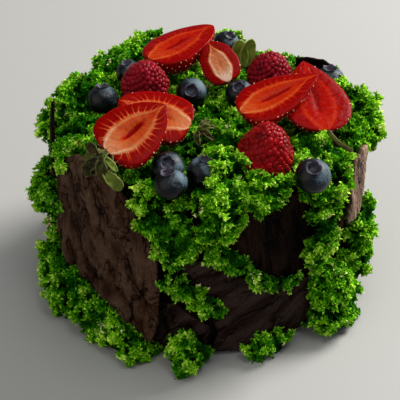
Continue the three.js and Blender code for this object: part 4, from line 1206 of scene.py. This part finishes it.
leafShape = {"steps": 18, "across": 8, "thickMm": 0.45, "rippleMm": 0.35, "cupMm": 0.6}


def makeLeaf(name, blades):
    shape = bmesh.new()
    uvLayer = shape.loops.layers.uv.new("leafMap")
    dryness = shape.verts.layers.float.new("dry")
    steps, across = leafShape["steps"], leafShape["across"]
    for base, tip, facing, width, bend, blunt, dry in blades:
        base, tip = Vector(base), Vector(tip)
        length, along, up, side = axesAlong(base, tip, facing)
        grid = []
        for i in range(steps + 1):
            u = 0.04 + 0.96 * i / steps
            pointed = math.sin(math.pi * min(1, u ** 0.8)) ** 0.9
            rounded = min(1, 2.2 * u) ** 0.5 * (1 - max(0, (u - 0.75) / 0.25) ** 2) ** 0.5
            half = 0.5 * width * max(0.06, pointed * (1 - blunt) + rounded * blunt)
            row = []
            for j in range(across + 1):
                v = 2 * j / across - 1
                wrinkle = leafShape["rippleMm"] * (1 + 3 * dry)
                ripple = wrinkle * noise.noise(Vector((5 * u, 2.5 * v, tip.x + tip.y))) * (0.4 + abs(v))
                rise = bend * math.sin(math.pi * u) + leafShape["cupMm"] * v * v * pointed + ripple
                vert = shape.verts.new((base + along * (u * length) + side * (v * half) + up * rise) * mm)
                vert[dryness] = dry
                row.append(vert)
            grid.append(row)
        for i in range(steps):
            for j in range(across):
                cells = ((i, j), (i + 1, j), (i + 1, j + 1), (i, j + 1))
                polygon = shape.faces.new([grid[a][b] for a, b in cells])
                polygon.smooth = True
                for corner, (a, b) in zip(polygon.loops, cells):
                    corner[uvLayer].uv = (b / across, a / steps)
    piece = objectFrom(shape, name)
    thickness = piece.modifiers.new("thick", "SOLIDIFY")
    thickness.thickness = leafShape["thickMm"] * mm
    thickness.offset = 0
    return bake(piece)


leafLook = {
    "plain": {"Roughness": 0.6, "Specular IOR Level": 0.08}, "scales": (200.0, 1200.0), "relief": (0.2, 0.5),
    "green": [(0.3, (0.07, 0.13, 0.008)), (0.7, (0.2, 0.29, 0.035))], "edge": (0.34, 0.34, 0.1, 1),
    "brown": [(0.3, (0.008, 0.006, 0.001)), (0.7, (0.05, 0.04, 0.01))], "vein": (0.25, 0.26, 0.08, 1),
}


def makeLeafFinish():
    material, tree, shader, spread = newFinish("driedLeaf", leafLook)
    axes = axesOf(step(tree, "ShaderNodeUVMap", uv_map="leafMap"))
    out = calc("ABSOLUTE", timesPlus(axes[0], 2, -1))
    dry = attributeOf(tree, "dry")
    green, brown = (colorSteps(spread["patch"], leafLook[name]) for name in ("green", "brown"))
    color = blendColors(dry, green, brown)
    live = timesPlus(dry, -0.7, 1)
    edge = times(ease(out, 0.72, 1.0, 0.0, 0.55), live)
    color = blendColors(edge, color, leafLook["edge"])
    veins = noiseAt(vectorOf(times(axes[0], 9), axes[1]), 1.5, 1.0)
    color = blendColors(times(remap(veins, 0.55, 0.7, 0.0, 0.3), live), color, leafLook["vein"])
    paint(shader, color, plus(veins, spread["grain"]), leafLook["relief"])
    return material


leafFinish = makeLeafFinish()
for nodeName, blades in leaves.items():
    piece = makeLeaf(nodeName + "_blades", blades)
    piece.data.materials.append(leafFinish)
    settle(piece, "leaf", nodeName)
print("leaves curled")
